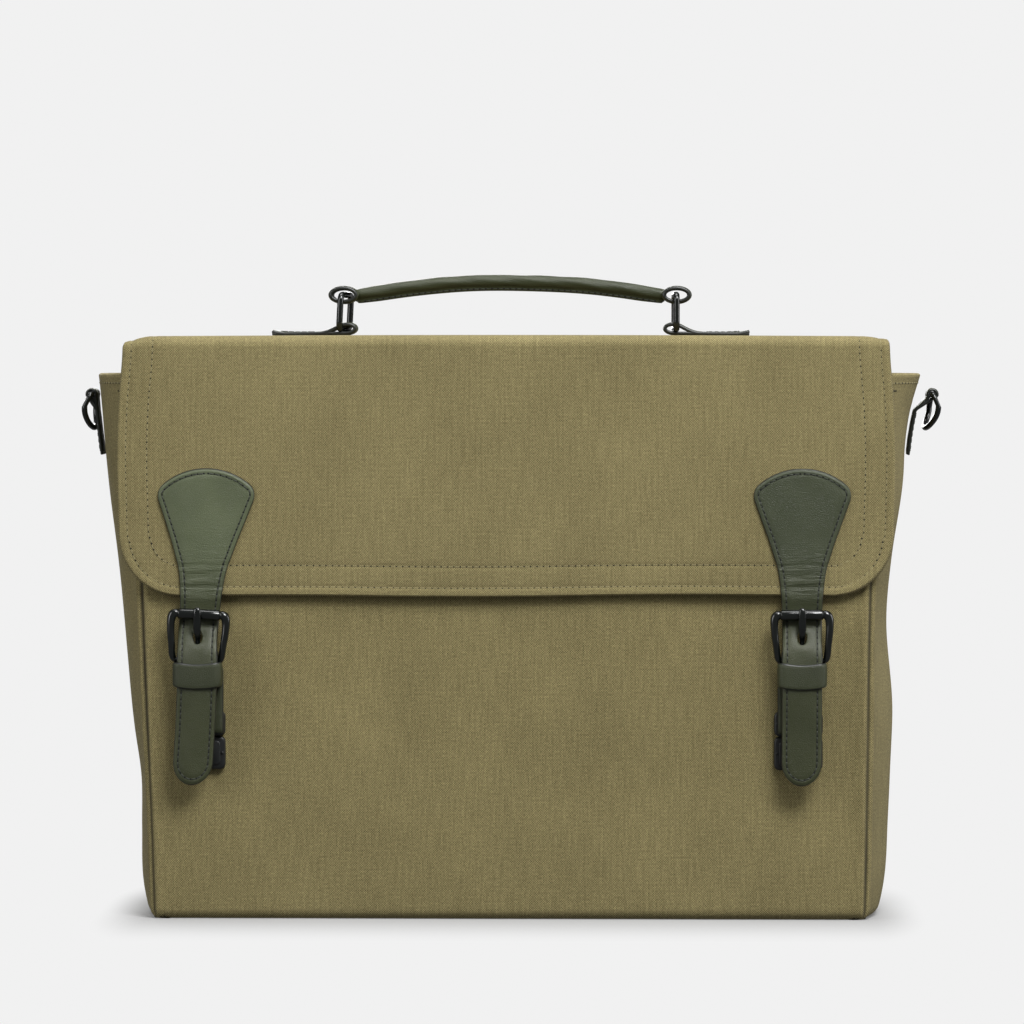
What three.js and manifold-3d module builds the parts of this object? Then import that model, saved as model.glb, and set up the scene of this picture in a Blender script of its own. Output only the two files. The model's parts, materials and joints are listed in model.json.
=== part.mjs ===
// Flap-over canvas messenger bag with two buckled leather straps and a leather top handle.
// Millimetres. +X is to the right, -Y is the front, +Z is up.
// The origin is at the centre of the underside of the base.
import * as THREE from 'three';
import { mergeVertices } from 'three/addons/utils/BufferGeometryUtils.js';
import Module from 'manifold-3d';

const wasm = await Module();
wasm.setup();

// ---- driving dimensions ----
const GAP = 0.3;                 // between pieces that are sewn or laid together
const CANVAS = 3;                // canvas with its facing
const DEPTH = 100;               // front face to back face
const FRONT_Y = -DEPTH / 2;
const BASE_HALF_WIDTH = 183;
const MOUTH_HALF_WIDTH = 192;
const MOUTH_Z = 281;             // top edge of the front and of the gussets
const GUSSET_THICKNESS = 2.5;
const GUSSET_BOW = [[0, 186], [20, 191.5], [80, 196.5], [130, 199], [180, 202.5], [227, 208], [282, 216]];

const ROOF_TOP_Z = 301;
const ROOF_THICKNESS = 3.5;
const FLAP_HALF_WIDTH = 201;
const FLAP_BOTTOM_Z = 167;
const FLAP_CORNER = 30;
const HINGE_Z = 299;             // both flap folds lie at this height
const BACK_HINGE_Y = 49;
const FRONT_FOLD_Y = -53.5;
const FOLD_CLEARANCE = 2.5;

const LINING = 0.8;
const BOARD = { width: 350, depth: 88, thickness: 3 };
const DIVIDER = { halfWidth: 170, front: 22, back: 30, top: 235 };
const POCKET = { halfWidth: 90, thickness: 2, bottom: 120, top: 250 };

const STRAP_X = 154.5;           // left strap at -STRAP_X, right strap at +STRAP_X
const LEATHER = 2;
const FAN = { top: 234, wideZ: 221.5, halfWidth: 26, neckZ: 183, neckHalf: 12.4, endHalf: 10.2 };
const STRAP_HINGE = { y: -56.2, z: 166.8 };
const BILLET = { halfWidth: 10, top: 165.8, tip: 69.5 };
const BUCKLE = { y: -60, halfWidth: 15.5, bottom: 133.2, top: 161.4, leg: 3.6, bar: 2.4, corner: 6 };
const ROLLER = { z: 158.1, radius: 2.9, bore: 2, length: 20 };
const LOWER_BAR_Z = BUCKLE.bottom + BUCKLE.bar / 2;
const PRONG = { width: 4, thickness: 2, ring: 3, tip: 161, gap: 0.7 };
const BAR_BORE = 2;              // radius of the eyes around the square buckle bar
const CHAPE = { halfWidth: 10.5, radius: 3.6, thickness: 1.6, bottom: 97 };
const KEEPER = { halfWidth: 12.75, wall: 1.6, front: -67.8, back: -54.5, bottom: 121.2, top: 132.9 };
const CLASP = { halfWidth: 12.5, bottom: 77.8, split: 95, top: 108, back: -51.2, front: -56.1, base: -54.5 };

const HANDLE_Y = -2;
const LINK = { x: 86.5, wire: 1.6, lowZ: 305.1, highZ: 322.9, halfWidth: 10.6 };
const TAB = { end: 125.5, halfWidth: 8, loop: 3.7, bore: 2.1, thickness: 2.6 };
const GRIP = { half: 78.9, radius: 3.8, core: 2.1, liner: 2.4, sag: 8.3 };
const GRIP_LOOP = { inner: 79.2, outer: 87.5, radius: 4.4, hole: 2.2, halfWidth: 6.5 };

const D_RING = { z: 271, offset: 5.6, wire: 1.5, halfWidth: 11.5, drop: 17.5, corner: 7 };
const D_TAB = { top: 276.5, bottom: 239.5, thickness: 2.5, halfWidth: 8, loop: 3.6, bore: 1.9 };

// ---- materials ----
const canvas = { color: 0x80785a, roughness: 0.9, metalness: 0 };
const leather = { color: 0x484f3d, roughness: 0.5, metalness: 0 };
const blackMetal = { color: 0x1b1b1b, roughness: 0.35, metalness: 0.8 };
const darkLining = { color: 0x26282a, roughness: 0.9, metalness: 0 };
const board = { color: 0x333333, roughness: 0.8, metalness: 0 };

// ---- helpers ----
const bag = new THREE.Group();

function add(name, geometry, finish) {
  const mesh = new THREE.Mesh(geometry, new THREE.MeshStandardMaterial(finish));
  mesh.name = name;
  bag.add(mesh);
}

function toSolid(geometry) {
  const bare = geometry.clone();
  bare.deleteAttribute('normal');
  bare.deleteAttribute('uv');
  const merged = mergeVertices(bare, 1e-4);
  return new wasm.Manifold(new wasm.Mesh({
    numProp: 3,
    vertProperties: Float32Array.from(merged.attributes.position.array),
    triVerts: Uint32Array.from(merged.index.array),
  }));
}

function toGeometry(solid) {
  const mesh = solid.getMesh();
  const geometry = new THREE.BufferGeometry();
  geometry.setAttribute('position', new THREE.BufferAttribute(mesh.vertProperties, 3));
  geometry.setIndex(new THREE.BufferAttribute(mesh.triVerts, 1));
  return geometry;
}

const join = (first, ...rest) => toGeometry(rest.reduce((sum, g) => sum.add(toSolid(g)), toSolid(first)));
const cut = (first, ...rest) => toGeometry(rest.reduce((sum, g) => sum.subtract(toSolid(g)), toSolid(first)));

// A box from its low and high corners, with segments along each axis.
function block(low, high, segments = [1, 1, 1]) {
  const size = high.map((value, i) => value - low[i]);
  const geometry = new THREE.BoxGeometry(...size, ...segments);
  geometry.translate(...low.map((value, i) => value + size[i] / 2));
  return geometry;
}

// Moves every vertex of a geometry by a rule of its position.
function reshape(geometry, rule) {
  const position = geometry.attributes.position;
  const point = new THREE.Vector3();
  for (let i = 0; i < position.count; i += 1) {
    point.fromBufferAttribute(position, i);
    rule(point);
    position.setXYZ(i, point.x, point.y, point.z);
  }
  return geometry;
}

// An outline in the XZ plane, extruded from the Y value `front` to `back`.
function plateXZ(shape, front, back, curveSegments = 8) {
  const geometry = new THREE.ExtrudeGeometry(shape, { depth: back - front, bevelEnabled: false, curveSegments });
  geometry.rotateX(Math.PI / 2);
  return geometry.translate(0, back, 0);
}

// An outline in the XZ plane, centred on `y`, extruded half a width each way along Y.
const stripXZ = (shape, y, halfWidth, curveSegments) => plateXZ(shape, y - halfWidth, y + halfWidth, curveSegments);

// An outline in the YZ plane, extruded along X from -halfWidth to +halfWidth about `x`.
function stripYZ(shape, x, halfWidth, curveSegments = 8) {
  const geometry = new THREE.ExtrudeGeometry(shape, { depth: 2 * halfWidth, bevelEnabled: false, curveSegments });
  geometry.applyMatrix4(new THREE.Matrix4().makeBasis(
    new THREE.Vector3(0, 1, 0),
    new THREE.Vector3(0, 0, 1),
    new THREE.Vector3(1, 0, 0),
  ));
  return geometry.translate(x - halfWidth, 0, 0);
}

const polygon = (points) => new THREE.Shape(points.map(([a, b]) => new THREE.Vector2(a, b)));

function circle(a, b, radius, Kind = THREE.Shape) {
  const path = new Kind();
  path.absarc(a, b, radius, 0, 2 * Math.PI, false);
  return path;
}

function disc(a, b, radius, boreRadius) {
  const shape = circle(a, b, radius);
  shape.holes.push(circle(a, b, boreRadius, THREE.Path));
  return shape;
}

// A stadium from a0 to a1 along the first axis, at height b.
function stadium(a0, a1, b, radius, Kind = THREE.Shape) {
  const path = new Kind();
  path.absarc(a1, b, radius, -Math.PI / 2, Math.PI / 2, false);
  path.absarc(a0, b, radius, Math.PI / 2, 1.5 * Math.PI, false);
  path.closePath();
  return path;
}

function sweep(shape, curve, steps, curveSegments = 8) {
  return new THREE.ExtrudeGeometry(shape, { steps, curveSegments, bevelEnabled: false, extrudePath: curve });
}

// A closed wire ring in a plane of constant x: a straight bar along Y at barZ, and a U to farZ.
function wireRing(x, y, barZ, farZ, halfWidth, wire, corner) {
  const turn = Math.sign(farZ - barZ) * corner;
  const at = (dy, z) => new THREE.Vector3(x, y + dy, z);
  const path = new THREE.CurvePath();
  path.add(new THREE.LineCurve3(at(-halfWidth, barZ), at(-halfWidth, farZ - turn)));
  path.add(new THREE.QuadraticBezierCurve3(
    at(-halfWidth, farZ - turn), at(-halfWidth, farZ), at(-halfWidth + corner, farZ)));
  path.add(new THREE.LineCurve3(at(-halfWidth + corner, farZ), at(halfWidth - corner, farZ)));
  path.add(new THREE.QuadraticBezierCurve3(
    at(halfWidth - corner, farZ), at(halfWidth, farZ), at(halfWidth, farZ - turn)));
  path.add(new THREE.LineCurve3(at(halfWidth, farZ - turn), at(halfWidth, barZ)));
  const bar = new THREE.CylinderGeometry(wire, wire, 2 * halfWidth + 2 * wire, 12);
  bar.translate(x, y, barZ);
  return join(sweep(circle(0, 0, wire), path, 28, 5), bar);
}

function interpolate(table, at) {
  const next = Math.max(1, table.findIndex(([key]) => key >= at));
  const [[a, low], [b, high]] = [table[next - 1], table[next]];
  return low + (high - low) * THREE.MathUtils.clamp((at - a) / (b - a), 0, 1);
}

const edgeHalfWidth = (z) => BASE_HALF_WIDTH + (MOUTH_HALF_WIDTH - BASE_HALF_WIDTH) * z / MOUTH_Z;
const bowHalfWidth = (z) => interpolate(GUSSET_BOW, z);

// ---- bag body ----
function wallPanel(front, top) {
  const bottom = CANVAS + GAP;
  return plateXZ(polygon([
    [-edgeHalfWidth(bottom), bottom],
    [edgeHalfWidth(bottom), bottom],
    [edgeHalfWidth(top), top],
    [-edgeHalfWidth(top), top],
  ]), front, front + CANVAS);
}

const wallReach = DEPTH / 2 - CANVAS - GAP;

// The outer face of a gusset: it bows outward between the front and the back panel, most at its mouth.
function gussetFace(y, z) {
  const bow = bowHalfWidth(z) - edgeHalfWidth(z);
  return edgeHalfWidth(z) + bow * Math.cos((Math.PI / 2) * (y / wallReach));
}

function gusset(side) {
  const sheet = block([-GUSSET_THICKNESS, -wallReach, CANVAS + GAP], [0, wallReach, MOUTH_Z], [1, 10, 12]);
  reshape(sheet, (p) => {
    p.x += gussetFace(p.y, p.z);
  });
  return side > 0 ? sheet : sheet.rotateZ(Math.PI);
}

const LINING_BOTTOM = CANVAS + BOARD.thickness + 2 * GAP;

// A box that fills the bag between its walls, `inset` inside them.
function innerForm(inset, bottom, top) {
  const reach = wallReach - inset;
  return reshape(block([-1, -reach, bottom], [1, reach, top], [1, 10, 12]), (p) => {
    p.x *= gussetFace(p.y, p.z) - GUSSET_THICKNESS - 2 * GAP - inset;
  });
}

function lining() {
  const top = MOUTH_Z - 2;
  return cut(
    innerForm(0, LINING_BOTTOM, top),
    innerForm(LINING, LINING_BOTTOM + LINING, top + 1),
  );
}

const liningFace = DEPTH / 2 - CANVAS - 2 * GAP - LINING;

function shoulderTab(side) {
  const wall = (z) => bowHalfWidth(z) + GAP;
  const heights = [D_TAB.top, 258, D_TAB.bottom];
  const inner = heights.map((z) => [wall(z), z]);
  const outer = heights.map((z) => [wall(z) + D_TAB.thickness, z]).reverse();
  const strip = stripXZ(polygon([...inner, ...outer]), 0, D_TAB.halfWidth);
  const ringX = bowHalfWidth(D_RING.z) + D_RING.offset;
  const eye = stripXZ(circle(ringX, D_RING.z, D_TAB.loop), 0, D_TAB.halfWidth);
  const bore = stripXZ(circle(ringX, D_RING.z, D_TAB.bore), 0, D_TAB.halfWidth + 1);
  const tab = cut(join(strip, eye), bore);
  return side > 0 ? tab : tab.rotateZ(Math.PI);
}

function shoulderRing(side) {
  const x = bowHalfWidth(D_RING.z) + D_RING.offset;
  const { z, drop, halfWidth, wire, corner } = D_RING;
  return wireRing(side * x, 0, z, z - drop, halfWidth, wire, corner);
}

// ---- flap ----
function flapFace() {
  const top = HINGE_Z - FOLD_CLEARANCE;
  const shape = new THREE.Shape();
  shape.moveTo(FLAP_HALF_WIDTH, top);
  shape.lineTo(-FLAP_HALF_WIDTH, top);
  shape.absarc(-FLAP_HALF_WIDTH + FLAP_CORNER, FLAP_BOTTOM_Z + FLAP_CORNER, FLAP_CORNER, Math.PI, 1.5 * Math.PI);
  shape.absarc(FLAP_HALF_WIDTH - FLAP_CORNER, FLAP_BOTTOM_Z + FLAP_CORNER, FLAP_CORNER, 1.5 * Math.PI, 2 * Math.PI);
  shape.closePath();
  return plateXZ(shape, FRONT_FOLD_Y - CANVAS / 2, FRONT_FOLD_Y + CANVAS / 2);
}

const flapRoof = () => block(
  [-FLAP_HALF_WIDTH, FRONT_FOLD_Y + FOLD_CLEARANCE, ROOF_TOP_Z - ROOF_THICKNESS],
  [FLAP_HALF_WIDTH, BACK_HINGE_Y - FOLD_CLEARANCE, ROOF_TOP_Z],
);

// A patch shaped like an open fan: round top, sides curving in to the neck of the strap.
function fanPatch(x) {
  const shape = new THREE.Shape();
  const { top, wideZ, halfWidth, neckZ, neckHalf, endHalf } = FAN;
  const bottom = STRAP_HINGE.z + 1;
  shape.moveTo(x - endHalf, bottom);
  shape.lineTo(x + endHalf, bottom);
  shape.lineTo(x + neckHalf, neckZ);
  shape.quadraticCurveTo(x + neckHalf + 4, neckZ + 18, x + halfWidth, wideZ);
  shape.quadraticCurveTo(x, 2 * top - wideZ, x - halfWidth, wideZ);
  shape.quadraticCurveTo(x - neckHalf - 4, neckZ + 18, x - neckHalf, neckZ);
  shape.closePath();
  const back = FRONT_FOLD_Y - CANVAS / 2 - GAP;
  return plateXZ(shape, back - LEATHER + GAP, back, 6);
}

function handleTab(side) {
  const bottom = ROOF_TOP_Z + GAP;
  const shape = polygon([
    [LINK.x, bottom],
    [TAB.end, bottom],
    [TAB.end, bottom + TAB.thickness - 1],
    [TAB.end - 1.5, bottom + TAB.thickness],
    [LINK.x, bottom + TAB.thickness],
  ]);
  const eye = circle(LINK.x, LINK.lowZ, TAB.loop);
  const bore = circle(LINK.x, LINK.lowZ, TAB.bore);
  const tab = cut(
    join(stripXZ(shape, 0, TAB.halfWidth), stripXZ(eye, 0, TAB.halfWidth)),
    stripXZ(bore, 0, TAB.halfWidth + 1),
  );
  return (side > 0 ? tab : tab.rotateZ(Math.PI)).translate(0, HANDLE_Y, 0);
}

// ---- handle ----
const handleLink = (side) => wireRing(
  side * LINK.x, HANDLE_Y, LINK.lowZ, LINK.highZ, LINK.halfWidth, LINK.wire, 3);

const gripCurve = new THREE.QuadraticBezierCurve3(
  new THREE.Vector3(-GRIP.half, HANDLE_Y, LINK.highZ),
  new THREE.Vector3(0, HANDLE_Y, LINK.highZ + 2 * GRIP.sag),
  new THREE.Vector3(GRIP.half, HANDLE_Y, LINK.highZ),
);

const GRIP_STEPS = 20;
const handleWrap = () => sweep(disc(0, 0, GRIP.radius, GRIP.liner), gripCurve, GRIP_STEPS, 6);
const handleCore = () => sweep(circle(0, 0, GRIP.core), gripCurve, GRIP_STEPS, 5);

function handleLoop(side) {
  const { inner, outer, radius, hole, halfWidth } = GRIP_LOOP;
  const shape = stadium(inner + radius, outer, LINK.highZ, radius);
  shape.holes.push(stadium(LINK.x - 1, outer, LINK.highZ, hole, THREE.Path));
  const loop = stripXZ(shape, 0, halfWidth);
  return (side > 0 ? loop : loop.rotateZ(Math.PI)).translate(0, HANDLE_Y, 0);
}

// ---- closing straps ----
// The middle of the billet's thickness: behind the roller, in front of the lower bar, then down.
function billetY(z) {
  const behindRoller = -55.9;
  const overBar = BUCKLE.y - CHAPE.radius - GAP - LEATHER / 2;
  const atTip = -62.5;
  const glide = (t) => 0.5 - 0.5 * Math.cos(Math.PI * THREE.MathUtils.clamp(t, 0, 1));
  if (z > LOWER_BAR_Z) {
    return behindRoller + (overBar - behindRoller) * glide((ROLLER.z - z) / (ROLLER.z - LOWER_BAR_Z));
  }
  return overBar + (atTip - overBar) * glide((KEEPER.bottom - z) / (KEEPER.bottom - BILLET.tip));
}

function billet(x) {
  const { halfWidth, top, tip } = BILLET;
  const strap = block([-1, -LEATHER / 2, tip], [1, LEATHER / 2, top], [1, 1, 36]);
  reshape(strap, (p) => {
    const aboveTip = Math.min(halfWidth, p.z - tip + 0.6);
    p.x *= Math.sqrt(halfWidth ** 2 - (halfWidth - aboveTip) ** 2);
    p.x += x;
    p.y += billetY(p.z);
  });
  const slot = block([x - 2.7, -70, 140.2], [x + 2.7, -50, 150]);
  return cut(strap, slot);
}

function buckleFrame(x) {
  const { y, halfWidth, bottom, top, leg, bar, corner } = BUCKLE;
  const notch = ROLLER.length / 2 + 0.6;
  const barTop = ROLLER.z + bar / 2;
  const shape = new THREE.Shape();
  shape.absarc(x - halfWidth + corner, bottom + corner, corner, Math.PI, 1.5 * Math.PI);
  shape.absarc(x + halfWidth - corner, bottom + corner, corner, 1.5 * Math.PI, 2 * Math.PI);
  shape.absarc(x + halfWidth - 4, top - 4, 4, 0, Math.PI / 2);
  shape.lineTo(x + notch, top);
  shape.lineTo(x + notch, barTop);
  shape.lineTo(x - notch, barTop);
  shape.lineTo(x - notch, top);
  shape.absarc(x - halfWidth + 4, top - 4, 4, Math.PI / 2, Math.PI);
  shape.closePath();
  const hole = polygon([
    [x - halfWidth + leg, bottom + bar],
    [x + halfWidth - leg, bottom + bar],
    [x + halfWidth - leg, ROLLER.z - bar / 2],
    [x - halfWidth + leg, ROLLER.z - bar / 2],
  ]);
  shape.holes.push(hole);
  return plateXZ(shape, y - bar / 2, y + bar / 2, 5);
}

const roller = (x) => stripYZ(disc(BUCKLE.y, ROLLER.z, ROLLER.radius, ROLLER.bore), x, ROLLER.length / 2, 8);

// The tongue: an eye on the lower bar, up through the strap's hole, its tip over the roller.
function prong(x) {
  const front = (z, y) => [y - PRONG.thickness / 2, z];
  const back = (z, y) => [y + PRONG.thickness / 2, z];
  const overRoller = BUCKLE.y - ROLLER.radius - PRONG.gap - PRONG.thickness / 2;
  const middle = [
    [LOWER_BAR_Z + BAR_BORE, BUCKLE.y - 0.2],
    [144.5, -61.2],
    [150, -62.2],
    [155, overRoller],
    [PRONG.tip, overRoller],
  ];
  const outline = [...middle.map((p) => front(...p)), ...middle.map((p) => back(...p)).reverse()];
  const body = stripYZ(polygon(outline), x, PRONG.width / 2);
  const eye = stripYZ(circle(BUCKLE.y, LOWER_BAR_Z, PRONG.ring), x, PRONG.width / 2, 6);
  const bore = stripYZ(circle(BUCKLE.y, LOWER_BAR_Z, BAR_BORE), x, PRONG.width, 6);
  return cut(join(body, eye), bore);
}

// The short strap behind: it loops round the lower bar, slotted for the tongue, and hangs down.
function chape(x) {
  const { halfWidth, radius, thickness, bottom } = CHAPE;
  const back = BUCKLE.y + radius;
  const strip = block([x - halfWidth, back - thickness, bottom], [x + halfWidth, back, LOWER_BAR_Z]);
  const eye = stripYZ(circle(BUCKLE.y, LOWER_BAR_Z, radius), x, halfWidth);
  const bore = stripYZ(circle(BUCKLE.y, LOWER_BAR_Z, BAR_BORE), x, halfWidth + 1);
  const room = PRONG.width / 2 + 2 * GAP;
  const slot = block([x - room, -70, LOWER_BAR_Z - 4.2], [x + room, -50, LOWER_BAR_Z + 5]);
  return cut(join(strip, eye), bore, slot);
}

function keeper(x) {
  const { halfWidth, wall, front, back, bottom, top } = KEEPER;
  return cut(
    block([x - halfWidth, front, bottom], [x + halfWidth, back, top]),
    block([x - halfWidth + wall, front + wall, bottom - 1], [x + halfWidth - wall, back - wall, top + 1]),
  );
}

const claspPlate = (x) => block(
  [x - CLASP.halfWidth, CLASP.front, CLASP.split + GAP], [x + CLASP.halfWidth, CLASP.back, CLASP.top]);
const claspBase = (x) => block(
  [x - CLASP.halfWidth, CLASP.base, CLASP.bottom], [x + CLASP.halfWidth, FRONT_Y - GAP, CLASP.split - 0.1]);

// ---- assembly ----
add('front_panel', wallPanel(FRONT_Y, MOUTH_Z), canvas);
add('back_panel', wallPanel(-FRONT_Y - CANVAS, HINGE_Z - 3.5), canvas);
add('bottom_panel', block([-BASE_HALF_WIDTH, FRONT_Y, 0], [BASE_HALF_WIDTH, -FRONT_Y, CANVAS]), canvas);
add('base_board', block(
  [-BOARD.width / 2, -BOARD.depth / 2, CANVAS + GAP],
  [BOARD.width / 2, BOARD.depth / 2, CANVAS + GAP + BOARD.thickness],
), board);
add('lining', lining(), darkLining);
add('laptop_divider', block(
  [-DIVIDER.halfWidth, DIVIDER.front, LINING_BOTTOM + LINING + GAP],
  [DIVIDER.halfWidth, DIVIDER.back, DIVIDER.top],
), darkLining);
add('inner_pocket', block(
  [-POCKET.halfWidth, -liningFace + GAP, POCKET.bottom],
  [POCKET.halfWidth, -liningFace + GAP + POCKET.thickness, POCKET.top],
), darkLining);
add('flap_roof', flapRoof(), canvas);
add('flap_face', flapFace(), canvas);
add('handle_wrap', handleWrap(), leather);
add('handle_core', handleCore(), board);

for (const [side, label] of [[-1, 'left'], [1, 'right']]) {
  const x = side * STRAP_X;
  add(`gusset_${label}`, gusset(side), canvas);
  add(`shoulder_tab_${label}`, shoulderTab(side), leather);
  add(`shoulder_ring_${label}`, shoulderRing(side), blackMetal);
  add(`handle_tab_${label}`, handleTab(side), leather);
  add(`handle_link_${label}`, handleLink(side), blackMetal);
  add(`handle_loop_${label}`, handleLoop(side), leather);
  add(`fan_patch_${label}`, fanPatch(x), leather);
  add(`billet_${label}`, billet(x), leather);
  add(`buckle_frame_${label}`, buckleFrame(x), blackMetal);
  add(`roller_${label}`, roller(x), blackMetal);
  add(`prong_${label}`, prong(x), blackMetal);
  add(`chape_${label}`, chape(x), leather);
  add(`keeper_${label}`, keeper(x), leather);
  add(`clasp_plate_${label}`, claspPlate(x), blackMetal);
  add(`clasp_base_${label}`, claspBase(x), blackMetal);
}

export default bag;
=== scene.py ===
# A canvas messenger bag with leather straps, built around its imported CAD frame. Lengths are in millimetres
# until a mesh is made, which is in metres.
import json
import math

import bmesh
import bpy
import numpy as np
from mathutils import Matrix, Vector


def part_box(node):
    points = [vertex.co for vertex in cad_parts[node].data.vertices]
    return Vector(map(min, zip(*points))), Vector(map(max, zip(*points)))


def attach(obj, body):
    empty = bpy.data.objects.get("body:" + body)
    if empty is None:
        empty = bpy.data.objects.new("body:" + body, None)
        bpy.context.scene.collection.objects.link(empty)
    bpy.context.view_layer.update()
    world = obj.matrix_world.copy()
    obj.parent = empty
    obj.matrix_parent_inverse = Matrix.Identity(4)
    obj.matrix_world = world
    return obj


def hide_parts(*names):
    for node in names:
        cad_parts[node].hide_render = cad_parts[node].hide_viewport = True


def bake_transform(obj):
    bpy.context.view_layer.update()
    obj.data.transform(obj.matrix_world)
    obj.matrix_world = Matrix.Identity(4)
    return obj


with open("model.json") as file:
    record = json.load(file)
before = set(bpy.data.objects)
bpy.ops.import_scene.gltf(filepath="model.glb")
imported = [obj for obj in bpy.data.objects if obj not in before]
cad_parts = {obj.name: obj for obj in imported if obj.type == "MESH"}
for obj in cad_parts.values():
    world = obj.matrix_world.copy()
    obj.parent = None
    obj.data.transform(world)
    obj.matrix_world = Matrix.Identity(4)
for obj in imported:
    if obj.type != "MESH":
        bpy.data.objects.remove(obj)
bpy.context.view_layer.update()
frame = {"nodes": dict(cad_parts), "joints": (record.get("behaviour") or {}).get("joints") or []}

MM = 0.001
SIDES = (("left", -1), ("right", 1))


# ---------------------------------------------------------------- places taken from the frame
def corners(node):
    """A CAD node's low and high corners, in millimetres."""
    low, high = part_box(node)
    return np.array(low) / MM, np.array(high) / MM


def joint(name):
    """Where a joint's axis is, in millimetres."""
    return np.array(next(j["pos_m"] for j in frame["joints"] if j["name"] == name)) / MM


FRONT_Y = corners("front_panel")[0][1]
BACK_Y = corners("back_panel")[1][1]
MOUTH_Z = corners("front_panel")[1][2]
BACK_TOP_Z = corners("back_panel")[1][2]
BASE_HALF = corners("bottom_panel")[1][0] + 1.6      # the soft base spreads a little
MOUTH_HALF = corners("front_panel")[1][0]
ROOF_Z = corners("flap_roof")[1][2]
FLAP_HALF = corners("flap_face")[1][0]
FLAP_BOTTOM = corners("flap_face")[0][2] + 1.6       # and the worn edge of the flap curls up
FLAP_FRONT = corners("flap_face")[0][1]
BACK_FOLD = joint("flap_hinge")


# ---------------------------------------------------------------- numbers and curves
def smooth(t):
    t = np.clip(t, 0.0, 1.0)
    return t * t * (3 - 2 * t)


def bump(x, centre, width):
    return np.exp(-(((x - centre) / width) ** 2))


def through(table, x):
    """A smooth curve through the (x, value) pairs of a table, by cubic steps with level-headed slopes."""
    xs, ys = np.array(table, float).T
    slopes = np.gradient(ys, xs)
    x = np.clip(np.asarray(x, float), xs[0], xs[-1])
    i = np.clip(np.searchsorted(xs, x) - 1, 0, len(xs) - 2)
    h = xs[i + 1] - xs[i]
    t = (x - xs[i]) / h
    a = (1 + 2 * t) * (1 - t) ** 2 * ys[i] + t * (1 - t) ** 2 * h * slopes[i]
    b = t * t * (3 - 2 * t) * ys[i + 1] + t * t * (t - 1) * h * slopes[i + 1]
    return a + b


def ripple(a, b, seed, size):
    """A gentle, seeded unevenness of about -1 to 1, with waves of about `size`."""
    random = np.random.RandomState(seed)
    total = np.zeros(np.broadcast(a, b).shape)
    for _ in range(6):
        angle, phase, scale = random.uniform(0, 2 * math.pi, 2).tolist() + [random.uniform(0.6, 1.6)]
        along = a * math.cos(angle) + b * math.sin(angle)
        total = total + np.sin(along * 2 * math.pi / (size * scale) + phase)
    return total / 3


def lengths(points):
    """The distance along a polyline at each of its points."""
    steps = np.linalg.norm(np.diff(points, axis=0), axis=1)
    return np.concatenate([[0], np.cumsum(steps)])


def resample(points, step):
    """Points spaced evenly, about `step` apart, along a polyline."""
    points = np.asarray(points, float)
    along = lengths(points)
    count = max(2, int(round(along[-1] / step)) + 1)
    at = np.linspace(0, along[-1], count)
    return np.stack([np.interp(at, along, points[:, k]) for k in range(points.shape[1])], axis=1)


def arc(centre, radius, start, end, count):
    """Points of an arc in a plane; the angles are in degrees."""
    angles = np.radians(np.linspace(start, end, count))
    return np.stack([centre[0] + radius * np.cos(angles), centre[1] + radius * np.sin(angles)], axis=1)


def curve_through(points, shares):
    """A smooth curve that starts at the second of its points and ends before the last but one.
    shares are where it is sampled between two points, from 0 to 1."""
    fine = []
    for a, b, c, d in zip(points, points[1:], points[2:], points[3:]):
        for t in shares:
            square = (2 * a - 5 * b + 4 * c - d) * t * t
            fine.append(0.5 * (2 * b + (c - a) * t + square + (3 * b - a - 3 * c + d) * t**3))
    return fine


def unit(vectors):
    return vectors / np.maximum(np.linalg.norm(vectors, axis=-1, keepdims=True), 1e-9)


def normals_of(grid):
    """Unit normals of a grid of points, from its two directions."""
    return unit(np.cross(np.gradient(grid, axis=1), np.gradient(grid, axis=0)))


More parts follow.
